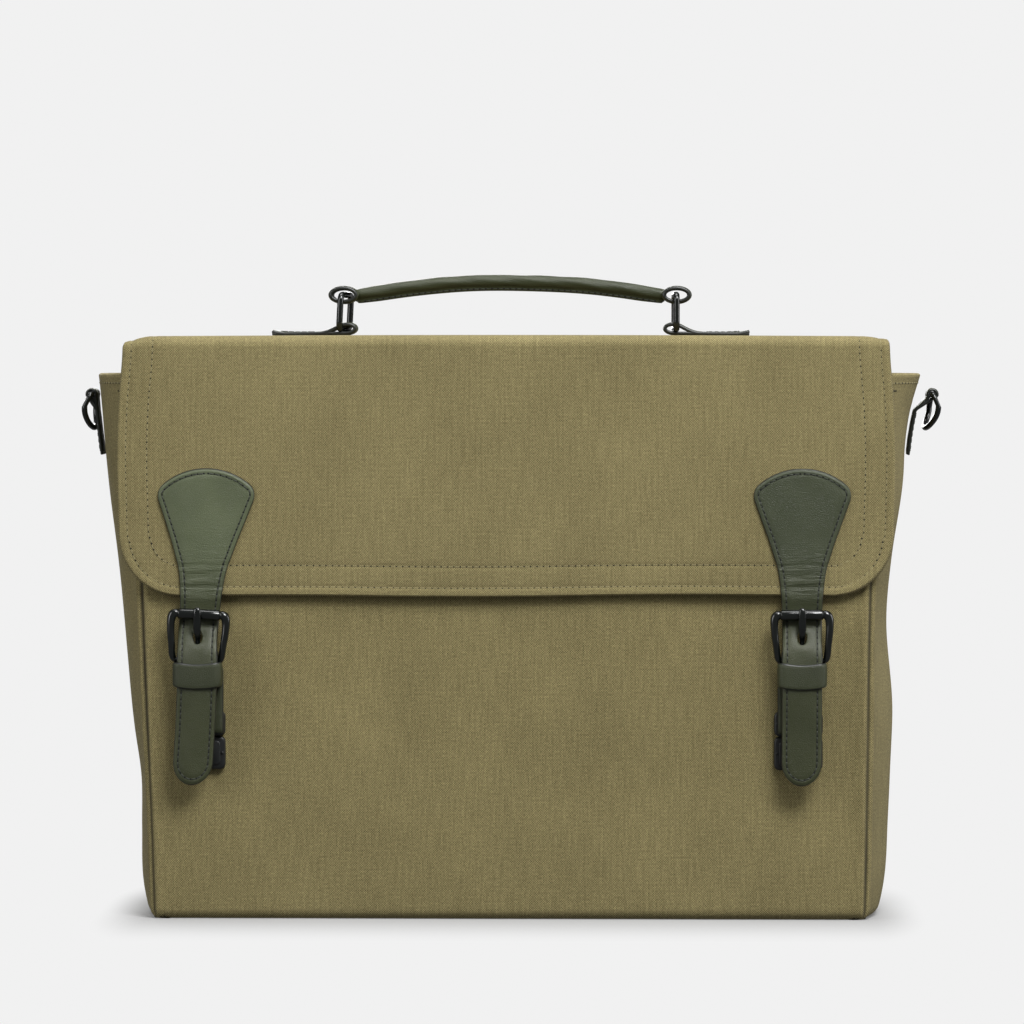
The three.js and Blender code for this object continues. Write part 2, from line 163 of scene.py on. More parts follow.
# ---------------------------------------------------------------- making meshes
class Piece:
    """Gathers grids of points into one mesh, with UVs in millimetres along the cloth."""

    def __init__(self):
        self.points, self.faces, self.uvs, self.slots = [], [], [], []
        self.count = 0

    def add(self, points, faces, uvs, slot):
        self.points.append(np.asarray(points, float))
        self.faces += [tuple(int(i) + self.count for i in face) for face in faces]
        self.uvs += [np.asarray(uv, float) for uv in uvs]
        self.slots += [slot] * len(faces)
        self.count += len(points)

    def grid(self, points, u, v, slot=0, wrap=False):
        """A grid of quads. u and v are per point, with one more column of u where the grid wraps round."""
        rows, cols = points.shape[:2]
        j = np.arange(cols if wrap else cols - 1)
        i = np.arange(rows - 1)[:, None]
        k = (j + 1) % cols
        quads = np.stack([i * cols + j, i * cols + k, (i + 1) * cols + k, (i + 1) * cols + j], axis=-1)
        width = cols + 1 if wrap else cols
        u = np.broadcast_to(u, (rows, width))
        v = np.broadcast_to(v, (rows, width))
        uv = np.stack([u, v], axis=-1)
        corners_uv = np.stack([uv[:-1, :-1], uv[:-1, 1:], uv[1:, 1:], uv[1:, :-1]], axis=2)
        self.add(points.reshape(-1, 3), quads.reshape(-1, 4), corners_uv.reshape(-1, 4, 2), slot)

    def make(self, name, materials):
        """The finished object, in metres, with shared points merged and its faces pointing out."""
        mesh = bpy.data.meshes.new(name)
        mesh.from_pydata((np.concatenate(self.points) * MM).tolist(), [], self.faces)
        layer = mesh.uv_layers.new(name="UVMap")
        layer.data.foreach_set("uv", np.concatenate(self.uvs).ravel())
        mesh.polygons.foreach_set("material_index", self.slots)
        mesh.polygons.foreach_set("use_smooth", [True] * len(self.slots))
        for material in materials:
            mesh.materials.append(material)
        work = bmesh.new()
        work.from_mesh(mesh)
        bmesh.ops.remove_doubles(work, verts=work.verts, dist=0.004 * MM)
        bmesh.ops.dissolve_degenerate(work, edges=work.edges, dist=0.002 * MM)
        bmesh.ops.recalc_face_normals(work, faces=work.faces)
        work.to_mesh(mesh)
        work.free()
        made = bpy.data.objects.new(name, mesh)
        bpy.context.scene.collection.objects.link(made)
        return made


def slab(piece, outer, thickness, slots=(0, 0, 0), uv=None, swell=0.5, offset=None):
    """A closed sheet with a rounded rim: `outer` is its shown side, and the other is `thickness` behind.
    slots are the materials of the shown side, of the back and of the rim."""
    rows, cols = outer.shape[:2]
    normal = normals_of(outer) if offset is None else offset
    thick = np.broadcast_to(np.asarray(thickness, float), (rows, cols))[..., None]
    inner = outer - normal * thick
    if uv is None:
        across = np.linalg.norm(np.diff(outer, axis=1), axis=2).mean(axis=0)
        down = np.linalg.norm(np.diff(outer, axis=0), axis=2).mean(axis=1)
        across, down = (np.concatenate([[0], np.cumsum(steps)]) for steps in (across, down))
        uv = (across[None, :], down[:, None])
    u, v = (np.broadcast_to(part, (rows, cols)) for part in uv)
    piece.grid(outer, u, v, slots[0])
    piece.grid(inner, u, v, slots[1])
    edge = [(0, j) for j in range(cols)] + [(i, cols - 1) for i in range(1, rows)]
    edge += [(rows - 1, j) for j in range(cols - 2, -1, -1)] + [(i, 0) for i in range(rows - 2, 0, -1)]
    i, j = np.array(edge).T
    a, b, n = outer[i, j], inner[i, j], normal[i, j]
    tangent = unit(np.roll(a, -1, axis=0) - np.roll(a, 1, axis=0))
    away = unit(np.cross(tangent, n))
    inside = outer.reshape(-1, 3).mean(axis=0)
    half = len(away) // 4
    if np.sum(away[half] * (a[half] - inside)) < 0:
        away = -away
    depth = np.linalg.norm(a - b, axis=1)[:, None]
    rings = [a]
    for share in (0.15, 0.5, 0.85):
        out = swell * math.sin(math.pi * share)
        rings.append(a + (b - a) * share + away * depth * out)
    rings.append(b)
    along = np.append(lengths(a), lengths(a)[-1] + np.linalg.norm(a[0] - a[-1]))
    through_rim = np.linspace(0, float(np.mean(depth)), 5)[:, None]
    piece.grid(np.stack(rings), along[None, :], through_rim, slots[2], wrap=True)


def sweep(piece, centres, side, up, section, slot=0, closed=False, caps=True):
    """A tube: `section` is (steps, k, 2) or (k, 2) offsets along `side` and `up` at each centre."""
    centres = np.asarray(centres, float)
    section = np.broadcast_to(section, (len(centres),) + np.shape(section)[-2:])
    ring = centres[:, None] + section[..., :1] * side[:, None] + section[..., 1:] * up[:, None]
    along = lengths(centres)
    if closed:
        ring = np.concatenate([ring, ring[:1]])
        along = np.append(along, along[-1] + np.linalg.norm(centres[0] - centres[-1]))
    k = ring.shape[1]
    girth = np.append(lengths(ring[0]), lengths(ring[0])[-1] + np.linalg.norm(ring[0][0] - ring[0][-1]))
    piece.grid(ring, girth[None, :], along[:, None], slot, wrap=True)
    if caps and not closed:
        for end in (ring[0], ring[-1]):
            middle = end.mean(axis=0)
            fan = [(i, (i + 1) % k, k) for i in range(k)]
            flat = np.concatenate([end, [middle]])
            piece.add(flat, fan, [flat[list(face)][:, :2] for face in fan], slot)


def round_section(across, along, count=12):
    """An oval section of the given half sizes."""
    angle = np.linspace(0, 2 * math.pi, count, endpoint=False)
    return np.stack([across * np.cos(angle), along * np.sin(angle)], axis=1)


def planar_frame(path, closed=False):
    """Side and up directions for a path that lies in a plane: up is the plane's normal."""
    tangent = np.roll(path, -1, axis=0) - np.roll(path, 1, axis=0)
    if not closed:
        tangent[0] = path[1] - path[0]
        tangent[-1] = path[-1] - path[-2]
    tangent = unit(tangent)
    middle = path.mean(axis=0)
    normal = unit(np.cross(path[0] - middle, path[len(path) // 3] - middle))
    up = np.tile(normal, (len(path), 1))
    return unit(np.cross(tangent, up)), up


def pill(piece, centre, along, normal, length, width, height, slot):
    """One sewn stitch: a small rounded thread lying along the cloth."""
    along = unit(along)
    side = unit(np.cross(along, normal))
    rings = []
    for at, size in ((-0.5, 0.35), (-0.3, 0.95), (0.0, 1.0), (0.3, 0.95), (0.5, 0.35)):
        ring = round_section(width / 2 * size, height * size, 6)
        rings.append(centre + along * at * length + ring[:, :1] * side + ring[:, 1:] * normal)
    rings = np.stack(rings)
    piece.grid(rings, np.arange(7)[None, :] * 0.3, np.arange(5)[:, None] * 0.3, slot, wrap=True)
    for end in (rings[0], rings[-1]):
        piece.add(end, [tuple(range(6))], [end[:, :2]], slot)


def needle_hole_shade(piece, centre, normal, radius, slot):
    """The dark dimple where the needle went in: a flat button just above the cloth, painted shade in the
    hole.
    """
    side = unit(np.cross(normal, [0.3, 0.5, 0.8]))
    other = np.cross(normal, side)
    ring = round_section(radius, radius, 8)
    flat = ring[:, :1] * side + ring[:, 1:] * other
    rings = [centre + rise * normal + flat * size for rise, size in ((-0.25, 0.7), (0.02, 1.0), (0.1, 0.7))]
    piece.grid(np.stack(rings), np.arange(9)[None, :] * 0.1, np.arange(3)[:, None] * 0.1, slot, wrap=True)
    for end in (rings[0], rings[-1]):
        piece.add(end, [tuple(range(8))], [end[:, :2]], slot)


def stitches(piece, line, normal, slots=(0, 1), pitch=3.3, width=0.6, height=0.32, hole=0.52):
    """A row of stitches along a line on a surface. `normal` is one vector or one for each point of the line.
    slots are the materials of the thread and of the painted shade in the needle holes."""
    line = np.asarray(line, float)
    normal = np.broadcast_to(normal, line.shape)
    along = lengths(line)
    count = max(1, int(round(along[-1] / pitch)))
    step = along[-1] / count
    for k in range(count + 1):
        at = min(k * step, along[-1])
        point = np.array([np.interp(at, along, line[:, c]) for c in range(3)])
        n = unit(np.array([np.interp(at, along, normal[:, c]) for c in range(3)]))
        needle_hole_shade(piece, point, n, hole, slots[1])
        if k == count:
            continue
        middle = at + step / 2
        centre = np.array([np.interp(middle, along, line[:, c]) for c in range(3)])
        ahead = np.array([np.interp(middle + step / 4, along, line[:, c]) for c in range(3)])
        pill(piece, centre, ahead - centre, n, step * 0.7, width, height, slots[0])


def sew_box(piece, spine, normal, half=5.8):
    """A rectangle of stitches along a spine of points, reaching `half` to each side of it along Y."""
    for y in (-half, half):
        stitches(piece, spine + np.array([0, y, 0]), normal)
    for end in (0, -1):
        across = np.linspace(-half, half, 8)[:, None] * np.array([0, 1.0, 0])
        stitches(piece, spine[end] + across, normal)


def fix(made, body, slot, *nodes):
    """Fastens a finished piece to a body, in place of the CAD nodes named; its slot argument is not used."""
    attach(made, body)
    if nodes:
        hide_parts(*nodes)


# ---------------------------------------------------------------- materials
def start_material(name, roughness, metallic=0.0, specular=0.5):
    material = bpy.data.materials.new(name)
    material.use_nodes = True
    tree = material.node_tree
    shader = tree.nodes["Principled BSDF"]
    shader.inputs["Roughness"].default_value = roughness
    shader.inputs["Metallic"].default_value = metallic
    shader.inputs["Specular IOR Level"].default_value = specular
    return material, tree, shader


def put(tree, kind, links=None, **settings):
    """Adds a node; links maps its inputs to a socket or a plain value."""
    node = tree.nodes.new(kind)
    for key, value in settings.items():
        setattr(node, key, value)
    for key, value in (links or {}).items():
        if isinstance(value, bpy.types.NodeSocket):
            tree.links.new(value, node.inputs[key])
        else:
            node.inputs[key].default_value = value
    return node


def calc(tree, operation, a, b=0.0, clamp=False):
    return put(tree, "ShaderNodeMath", {0: a, 1: b}, operation=operation, use_clamp=clamp).outputs[0]


def colour_mix(tree, factor, a, b, blend="MIX"):
    node = put(tree, "ShaderNodeMix", data_type="RGBA", blend_type=blend)
    for key, value in (("Factor", factor), ("A", a), ("B", b)):
        sockets = [s for s in node.inputs if s.name == key and s.type in ("RGBA", "VALUE")]
        socket = sockets[0] if key == "Factor" else next(s for s in sockets if s.type == "RGBA")
        if isinstance(value, bpy.types.NodeSocket):
            tree.links.new(value, socket)
        else:
            socket.default_value = value
    return next(s for s in node.outputs if s.type == "RGBA")


def grey(value):
    return (value, value, value, 1.0)


def linear(red, green, blue):
    """A shader colour from screen values of 0 to 255."""
    def one(value):
        value /= 255
        return value / 12.92 if value <= 0.04045 else ((value + 0.055) / 1.055) ** 2.4
    return (one(red), one(green), one(blue), 1.0)


def cloth_coordinates(tree):
    """The cloth's own u and v in millimetres."""
    uv = put(tree, "ShaderNodeUVMap", uv_map="UVMap").outputs[0]
    parts = put(tree, "ShaderNodeSeparateXYZ", {0: uv})
    return uv, parts.outputs[0], parts.outputs[1]


def stretched_noise(tree, uv, scale_u, scale_v, detail=2.0):
    """Noise of about 0 to 1 whose grain is longer one way; the scales are per millimetre."""
    mapped = put(tree, "ShaderNodeMapping", {"Vector": uv, "Scale": (scale_u, scale_v, 1.0)}).outputs[0]
    return put(tree, "ShaderNodeTexNoise", {"Vector": mapped, "Scale": 1.0, "Detail": detail}).outputs[0]


def weave_height(tree, u, v, yarn):
    """The height of a plain weave of 0 to 1, and 1 where the upright yarn is on top."""
    across = calc(tree, "SINE", calc(tree, "MULTIPLY", u, math.pi / yarn))
    down = calc(tree, "SINE", calc(tree, "MULTIPLY", v, math.pi / yarn))
    over = calc(tree, "GREATER_THAN", calc(tree, "MULTIPLY", across, down), 0.0)
    a = calc(tree, "ABSOLUTE", across)
    b = calc(tree, "ABSOLUTE", down)

    def rounded(arched, along, least):
        length = calc(tree, "ADD", calc(tree, "MULTIPLY", along, 0.6), least)
        return calc(tree, "MULTIPLY", calc(tree, "POWER", arched, 0.6), length)

    upright, level = rounded(a, b, 0.4), rounded(b, a, 0.2)
    keep = calc(tree, "SUBTRACT", 1.0, over)
    height = calc(tree, "ADD", calc(tree, "MULTIPLY", upright, over), calc(tree, "MULTIPLY", level, keep))
    return height, over


def canvas_material(name, light, dark, yarn=0.62, relief=0.2, seams=()):
    """Heavy cotton canvas: a plain weave with thick and thin yarns, ribs, and slow changes of shade.
    It has painted shade along the seams, which are values of u: it goes dark there as the groove of a seam
    would."""
    material, tree, shader = start_material(name, 0.88, specular=0.25)
    uv, u, v = cloth_coordinates(tree)
    height, over = weave_height(tree, u, v, yarn)
    ribs = stretched_noise(tree, uv, 1.0, 0.06)
    bars = stretched_noise(tree, uv, 0.12, 0.9)
    blotch = stretched_noise(tree, uv, 0.02, 0.014, 4.0)
    fleck = stretched_noise(tree, uv, 1.2, 0.9, 3.0)
    shade = calc(tree, "MULTIPLY", height, 0.72)
    for part, weight in ((ribs, 0.4), (bars, 0.22), (blotch, 0.34), (fleck, 0.95)):
        shade = calc(tree, "ADD", shade, calc(tree, "MULTIPLY", calc(tree, "SUBTRACT", part, 0.5), weight))
    upright = calc(tree, "MULTIPLY", calc(tree, "SUBTRACT", over, 0.5), 0.34)
    shade = calc(tree, "ADD", shade, upright, clamp=True)
    # Painted shade along each seam: the colour turns dark brown close to it, as in a shaded groove.
    clear_of_seam_shade = 1.0
    gap = calc(tree, "ADD", blotch, 0.45)
    for place in seams:
        near = calc(tree, "DIVIDE", calc(tree, "ABSOLUTE", calc(tree, "SUBTRACT", u, place)), 1.2)
        clear_of_seam_shade = calc(tree, "MULTIPLY", clear_of_seam_shade, calc(tree, "SUBTRACT", near, gap, clamp=True))
    colour = colour_mix(tree, shade, dark, light)
    if seams:
        colour = colour_mix(tree, clear_of_seam_shade, linear(48, 43, 27), colour)
    tree.links.new(colour, shader.inputs["Base Color"])
    tall = calc(tree, "ADD", height, calc(tree, "MULTIPLY", fleck, 0.6))
    relief_node = put(tree, "ShaderNodeBump", {"Height": tall, "Distance": relief * MM, "Strength": 0.8})
    tree.links.new(relief_node.outputs[0], shader.inputs["Normal"])
    rough = calc(tree, "ADD", calc(tree, "MULTIPLY", fleck, 0.16), 0.78)
    tree.links.new(rough, shader.inputs["Roughness"])
    shader.inputs["Sheen Weight"].default_value = 0.03
    shader.inputs["Sheen Roughness"].default_value = 0.6
    return material


def leather_material(name, light, dark, roughness=0.42, relief=0.12, fan=1.0):
    """Smooth dyed leather: fine pores, a soft pull-up in the shade, and a slight unevenness of gloss.
    fan is how much lighter it is on the broad upper part of a strap: a painted highlight, a little bluer
    there."""
    material, tree, shader = start_material(name, roughness, specular=0.4)
    place = put(tree, "ShaderNodeTexCoord").outputs["Object"]
    cells = put(tree, "ShaderNodeTexVoronoi", {"Vector": place, "Scale": 1100.0}, feature="DISTANCE_TO_EDGE")
    pores = put(tree, "ShaderNodeTexNoise", {"Vector": place, "Scale": 2600.0, "Detail": 3.0}).outputs[0]
    cloud = put(tree, "ShaderNodeTexNoise", {"Vector": place, "Scale": 55.0, "Detail": 4.0}).outputs[0]
    wide = put(tree, "ShaderNodeTexNoise", {"Vector": place, "Scale": 14.0, "Detail": 2.0}).outputs[0]
    shade = calc(tree, "ADD", calc(tree, "MULTIPLY", cloud, 0.7), calc(tree, "MULTIPLY", wide, 0.5))
    shade = calc(tree, "SUBTRACT", shade, 0.22)
    shade = calc(tree, "ADD", calc(tree, "MULTIPLY", pores, 0.25), shade, clamp=True)
    colour = colour_mix(tree, shade, dark, light)
    up = put(tree, "ShaderNodeSeparateXYZ", {0: place}).outputs[2]

    def rising(start, end):
        return put(tree, "ShaderNodeMapRange", {"Value": up, "From Min": start, "From Max": end}).outputs[0]

    # Painted highlight: from 155 to 190 mm up, the colour grows lighter and a little bluer, like light caught
    # on the broad part.
    if fan != 1.0:
        painted_highlight_factors = {0: colour, 1: (fan, fan * 1.04, fan * 1.28)}
        lit = put(tree, "ShaderNodeVectorMath", painted_highlight_factors, operation="MULTIPLY").outputs[0]
        colour = colour_mix(tree, rising(0.155, 0.19), colour, lit)
    tree.links.new(colour, shader.inputs["Base Color"])
    grain = calc(tree, "MINIMUM", calc(tree, "MULTIPLY", cells.outputs["Distance"], 6.0), 1.0)
    height = calc(tree, "ADD", calc(tree, "MULTIPLY", grain, 0.6), calc(tree, "MULTIPLY", pores, 0.5))
    if fan != 1.0:
        long = put(tree, "ShaderNodeMapping", {"Vector": place, "Scale": (110.0, 110.0, 1000.0)}).outputs[0]
        waves = {"Vector": long, "Scale": 1.0, "Detail": 2.0, "Distortion": 0.6}
        fold = put(tree, "ShaderNodeTexNoise", waves).outputs[0]
        creased = calc(tree, "MULTIPLY", rising(0.161, 0.170), rising(0.196, 0.182))
        creased = calc(tree, "MULTIPLY", creased, 3.2)
        creased = calc(tree, "ADD", creased, 0.5)
        height = calc(tree, "ADD", height, calc(tree, "MULTIPLY", fold, creased))
    relief_node = put(tree, "ShaderNodeBump", {"Height": height, "Distance": relief * MM, "Strength": 0.9})
    tree.links.new(relief_node.outputs[0], shader.inputs["Normal"])
    rough = calc(tree, "ADD", calc(tree, "MULTIPLY", cloud, 0.2), roughness - 0.1)
    tree.links.new(rough, shader.inputs["Roughness"])
    return material


def plain_material(
    name, light, dark, roughness, metallic=0.0, scale=900.0, relief=0.03, coat=0.0, specular=0.5
):
    """Paint, metal, thread or moulded plastic: a fine mottle in the shade and in the surface."""
    material, tree, shader = start_material(name, roughness, metallic, specular)
    place = put(tree, "ShaderNodeTexCoord").outputs["Object"]
    fine = put(tree, "ShaderNodeTexNoise", {"Vector": place, "Scale": scale, "Detail": 3.0}).outputs[0]
    slow = put(tree, "ShaderNodeTexNoise", {"Vector": place, "Scale": scale / 12, "Detail": 3.0}).outputs[0]
    tree.links.new(colour_mix(tree, slow, dark, light), shader.inputs["Base Color"])
    relief_node = put(tree, "ShaderNodeBump", {"Height": fine, "Distance": relief * MM, "Strength": 0.4})
    tree.links.new(relief_node.outputs[0], shader.inputs["Normal"])
    rough = calc(tree, "ADD", calc(tree, "MULTIPLY", slow, 0.16), roughness - 0.08)
    tree.links.new(rough, shader.inputs["Roughness"])
    shader.inputs["Coat Weight"].default_value = coat
    shader.inputs["Coat Roughness"].default_value = 0.12
    return material


CANVAS = canvas_material("canvas", linear(166, 154, 108), linear(82, 74, 45))
PANEL, GUSSET = 376, 118    # how wide the cloth of a panel and of a gusset is
SEAMS = (0, PANEL, PANEL + GUSSET, 2 * PANEL + GUSSET, 2 * (PANEL + GUSSET))
# The body's canvas carries painted shade along its seams.
BODY_CANVAS = canvas_material("body_canvas", linear(171, 158, 110), linear(76, 69, 41), seams=SEAMS)
LINING = canvas_material("lining", linear(52, 54, 56), linear(28, 29, 31), yarn=0.34, relief=0.06)
DARK_LEATHER = leather_material("leather_dark", linear(56, 61, 38), linear(36, 40, 24), 0.46)
# Two copies of one leather that differ only in their painted highlight: the left strap's broad part gets much
# more.
LEATHER_PAINTED_HIGHLIGHT = {
    -1: leather_material("leather_left_painted_highlight", linear(62, 66, 42), linear(40, 44, 26), fan=2.15),
    1: leather_material("leather_right_painted_highlight", linear(62, 66, 42), linear(40, 44, 26), fan=1.25),
}
BINDING = canvas_material("binding", linear(60, 62, 58), linear(34, 35, 33), yarn=0.5, relief=0.08)
EDGE = plain_material("edge_paint", linear(26, 29, 24), linear(14, 16, 13), 0.38)
METAL = plain_material("black_metal", linear(15, 19, 17), linear(5, 7, 6), 0.17, 0.0, 1500.0, 0.015, 0.3, 0.4)
THREAD = plain_material("canvas_thread", linear(146, 138, 100), linear(112, 104, 72), 0.8, 0.0, 2500.0)
DARK_THREAD = plain_material("leather_thread", linear(48, 53, 42), linear(28, 32, 24), 0.6, 0.0, 2500.0)
# Painted shade: the needle holes are small dark buttons standing for the shade inside each hole.
HOLE_SHADE = plain_material("needle_hole_shade", linear(40, 36, 22), linear(22, 19, 11), 0.9)
LEATHER_HOLE_SHADE = plain_material("leather_hole_shade", linear(10, 11, 9), linear(4, 5, 4), 0.9)
PLASTIC = plain_material("clasp_black", linear(17, 19, 19), linear(8, 9, 9), 0.42, 0.0, 1200.0)
BOARD = plain_material("board_grey", linear(58, 58, 58), linear(44, 44, 44), 0.8)


# ---------------------------------------------------------------- the canvas body
# How far the middle of each gusset stands out, by height.
BOW = {
    -1: ((0, 189), (12, 191.5), (45, 192.5), (72, 193), (95, 196), (134, 199), (180, 204),
         (227, 209.5), (282, 216)),
    1: ((0, 191), (12, 193.5), (49, 196.5), (72, 198.5), (103, 200.5), (154, 198),
        (185, 201), (227, 206.5), (245, 207.7), (260, 210.2), (282, 216.8)),
}
SHELL = 2.0                 # thickness of the canvas with its facing
HALF_DEPTH = (BACK_Y - FRONT_Y) / 2
BASE_ROUND = 5.0            # radius of the base edge
NEAR_SEAM = (0, 0.35, 0.7, 1.1, 1.6, 2.3, 3.2, 4.5, 6.5, 9.5, 13)


def lean(z):
    """The bag leans a little to its left as it stands."""
    return -1.7 * smooth(z / 170)


def edge_half(z):
    """Half the width of the front and back panels at a height."""
    return BASE_HALF + (MOUTH_HALF - BASE_HALF) * z / MOUTH_Z


def base_inset(z):
    low = np.clip(BASE_ROUND - z, 0, BASE_ROUND)
    return BASE_ROUND - np.sqrt(BASE_ROUND**2 - low**2)


def perimeter():
    """Columns round the bag, as (side, place): side 0 is the front, 1 right, 2 back and 3 left.
    place is -1 to 1 along the side."""
    columns = []
    for side in range(4):
        half = PANEL / 2 if side in (0, 2) else HALF_DEPTH
        near = np.array(NEAR_SEAM) / half
        far = 1 - near[-1]
        middle = np.linspace(-far, far, int(2 * far * half / 4.5))
        places = np.concatenate([-1 + near[:-1], middle, (1 - near[:-1])[::-1]])
        columns += [(side, place) for place in places[:-1]]
    return np.array(columns)


def wall_points(columns, z, inset=0.0):
    """Points of the outer face of the wall, for columns (cols, 2) and heights z (rows, cols)."""
    side, place = columns[:, 0], columns[:, 1]
    edge = edge_half(z)
    reach = HALF_DEPTH
    x, y = np.zeros(z.shape), np.zeros(z.shape)
    front, right, back, left = ((side == k) for k in range(4))
    x[:, front] = (place * edge)[:, front]
    y[:, front] = -reach
    x[:, back] = (-place * edge)[:, back]
    y[:, back] = reach
    for mask, sign in ((right, 1), (left, -1)):
        bow = through(BOW[sign], z) - edge
        curve = np.cos(math.pi / 2 * place) * (1.06 - 0.06 * np.cos(1.5 * math.pi * place))
        x[:, mask] = sign * (edge + bow * curve)[:, mask]
        y[:, mask] = (sign * place * reach)[None, mask]
    y = y + (FRONT_Y + BACK_Y) / 2
    half = np.where((side == 0) | (side == 2), PANEL / 2, HALF_DEPTH)
    seam = (1 - np.abs(place)) * half
    points = np.stack([x, y, z], axis=-1)
    wrapped = np.concatenate([points[:, -1:], points, points[:, :1]], axis=1)
    along = unit(wrapped[:, 2:] - wrapped[:, :-2])
    out = np.stack([along[..., 1], -along[..., 0], np.zeros(z.shape)], axis=-1)
    push = -2.0 * bump(seam, 0, 0.9) - 1.2 * bump(seam, 0, 2.4) + 0.9 * bump(seam, 3.4, 1.5)
    flat = smooth(seam / 25)
    face = (side == 0) | (side == 2)
    push = push + np.where(face, 0.3, 0.9) * flat * ripple(place * half, z, 5, 120)
    belly = np.where(side == 0, 0.7, np.where(side == 2, 1.3, 0))
    push = push + belly * flat * np.sin(math.pi * np.clip(z / MOUTH_Z, 0, 1))
    push = push - base_inset(z) - inset
    points = points + out * push[..., None]
    points[..., 0] += lean(points[..., 2])
    return points


def cup(piece, outer, inner, slots, u, v, axis=(0, 0, 1)):
    """A shell, open at both ends, between two wrapped grids, with rims rounded along the axis."""
    piece.grid(outer, u, v, slots[0], wrap=True)
    piece.grid(inner, u, v, slots[1], wrap=True)
    for row, lift in ((0, -0.3), (-1, 0.5)):
        a, b = outer[row], inner[row]
        depth = np.linalg.norm(a - b, axis=1)[:, None]
        rings = [a]
        for share in (0.2, 0.5, 0.8):
            rings.append(a + (b - a) * share + np.array(axis) * depth * lift * math.sin(math.pi * share))
        rings.append(b)
        piece.grid(np.stack(rings), u, np.arange(5)[:, None] * 0.5, slots[2], wrap=True)


def wall_heights(columns, top_front, top_back):
    """Heights (rows, cols): the back rises above the mouth, close to its corners."""
    low = np.array([0, 0.5, 1.2, 2.2, 3.5, 5, 7, 10])
    high = 1 - np.array([18, 12, 8, 5.5, 4, 3, 2, 1, 0]) / MOUTH_Z
    middle = np.linspace(14 / MOUTH_Z, high[0], 62)[:-1]
    share = np.concatenate([low / MOUTH_Z, middle, high])
    side, place = columns.T
    rise = np.where(side == 2, smooth((1 - np.abs(place)) * PANEL / 2 / 9), 0)
    top = top_front + (top_back - top_front) * rise
    return share[:, None] * top[None, :]


def wall_uv(columns):
    """How far round the bag each column is, along the cloth."""
    side, place = columns.T
    spans = np.array([PANEL, GUSSET, PANEL, GUSSET])
    starts = np.concatenate([[0], np.cumsum(spans)])
    u = starts[side.astype(int)] + (place + 1) / 2 * spans[side.astype(int)]
    return np.append(u, starts[-1])


def make_body():
    columns = perimeter()
    heights = wall_heights(columns, MOUTH_Z, BACK_TOP_Z)
    outer = wall_points(columns, heights)
    inner = wall_points(columns, heights, SHELL)
    piece = Piece()
    cup(piece, outer, inner, (0, 0, 0), wall_uv(columns)[None, :], heights.mean(axis=1)[:, None])
    half, reach = BASE_HALF - BASE_ROUND, HALF_DEPTH - BASE_ROUND
    xs, ys = np.linspace(-half, half, 60), np.linspace(-reach, reach, 24)
    floor = np.stack(np.broadcast_arrays(xs[None, :], ys[:, None], 0.5), axis=-1).astype(float)
    floor[..., 2] += 0.25 * (1 + ripple(floor[..., 0], floor[..., 1], 3, 60)) * 0.5
    corner = np.hypot(half - np.abs(floor[..., 0]), reach - np.abs(floor[..., 1]))
    floor[..., :2] *= 1 - (np.array([1 / half, 1 / reach]) * 2.6) * bump(corner, 0, 5)[..., None]
    slab(piece, floor, 2.0, offset=np.array([0, 0, -1.0]) * np.ones(floor.shape))
    body = piece.make("canvas_body", [BODY_CANVAS])
    fix(body, "bag", "canvas", "front_panel", "back_panel", "gusset_left", "gusset_right", "bottom_panel")
    return outer, columns


def make_body_stitching(outer, columns):
    """The hem row at the mouth of each gusset, and the bar tack at its front corner."""
    piece = Piece()
    side, place = columns.T
    normal_grid = normals_of(outer)
    centre = outer[:, :, :2].mean(axis=(0, 1))
    row = int(np.argmin(np.abs(outer[:, 0, 2] - (MOUTH_Z - 3.5))))
    low = int(np.argmin(np.abs(outer[:, 0, 2] - (MOUTH_Z - 9))))

    def sew(at, kind, start, end, **thread):
        picked = np.where((side == kind) & (place > start) & (place < end))[0]
        line = outer[at, picked]
        normal = normal_grid[at, picked]
        flip = np.sign(np.sum(normal[:, :2] * (line[:, :2] - centre), axis=1))
        stitches(piece, line, normal * flip[:, None], **thread)

    for kind in (1, 3, 0):
        sew(row, kind, -0.97, 0.97)
    for kind, start, end in ((1, -0.93, -0.72), (3, 0.72, 0.93)):
        # The bar tacks are drawn all in the dark colour of the needle holes' painted shade.
        sew(low, kind, start, end, slots=(1, 1), pitch=1.4, width=0.7)
    made = piece.make("body_stitching", [THREAD, HOLE_SHADE])
    fix(made, "bag", "canvas")


def make_lining():
    columns = perimeter()
    inset = SHELL + 0.5
    top = MOUTH_Z - 1.2
    heights = wall_heights(columns, top, BACK_TOP_Z - 3)
    low = corners("lining")[0][2]
    heights = low + heights * (1 - low / heights[-1:])
    heights[-1] += 1.2 * ripple(columns[:, 0] * 200 + columns[:, 1] * 90, 0, 9, 70)
    outer = wall_points(columns, heights, inset)
    inner = wall_points(columns, heights, inset + 0.8)
    wrinkle = 0.5 * ripple(columns[None, :, 1] * 150 + columns[None, :, 0] * 300, heights, 21, 45)
    middle = inner.mean(axis=(0, 1))
    inner = inner + unit((middle - inner) * np.array([1, 1, 0])) * (0.5 + wrinkle)[..., None]
    piece = Piece()
    cup(piece, outer, inner, (0, 0, 0), wall_uv(columns)[None, :], heights.mean(axis=1)[:, None])
    xs = np.linspace(-BASE_HALF + 7, BASE_HALF - 7, 60)
    ys = np.linspace(-HALF_DEPTH + 6, HALF_DEPTH - 6, 20)
    floor = np.stack(np.broadcast_arrays(xs[None, :], ys[:, None], low + 0.9), axis=-1).astype(float)
    floor[..., 2] += 0.3 * ripple(floor[..., 0], floor[..., 1], 13, 50)
    slab(piece, floor, 0.8, offset=np.array([0, 0, 1.0]) * np.ones(floor.shape))
    made = piece.make("lining_cloth", [LINING])
    fix(made, "bag", "lining", "lining")


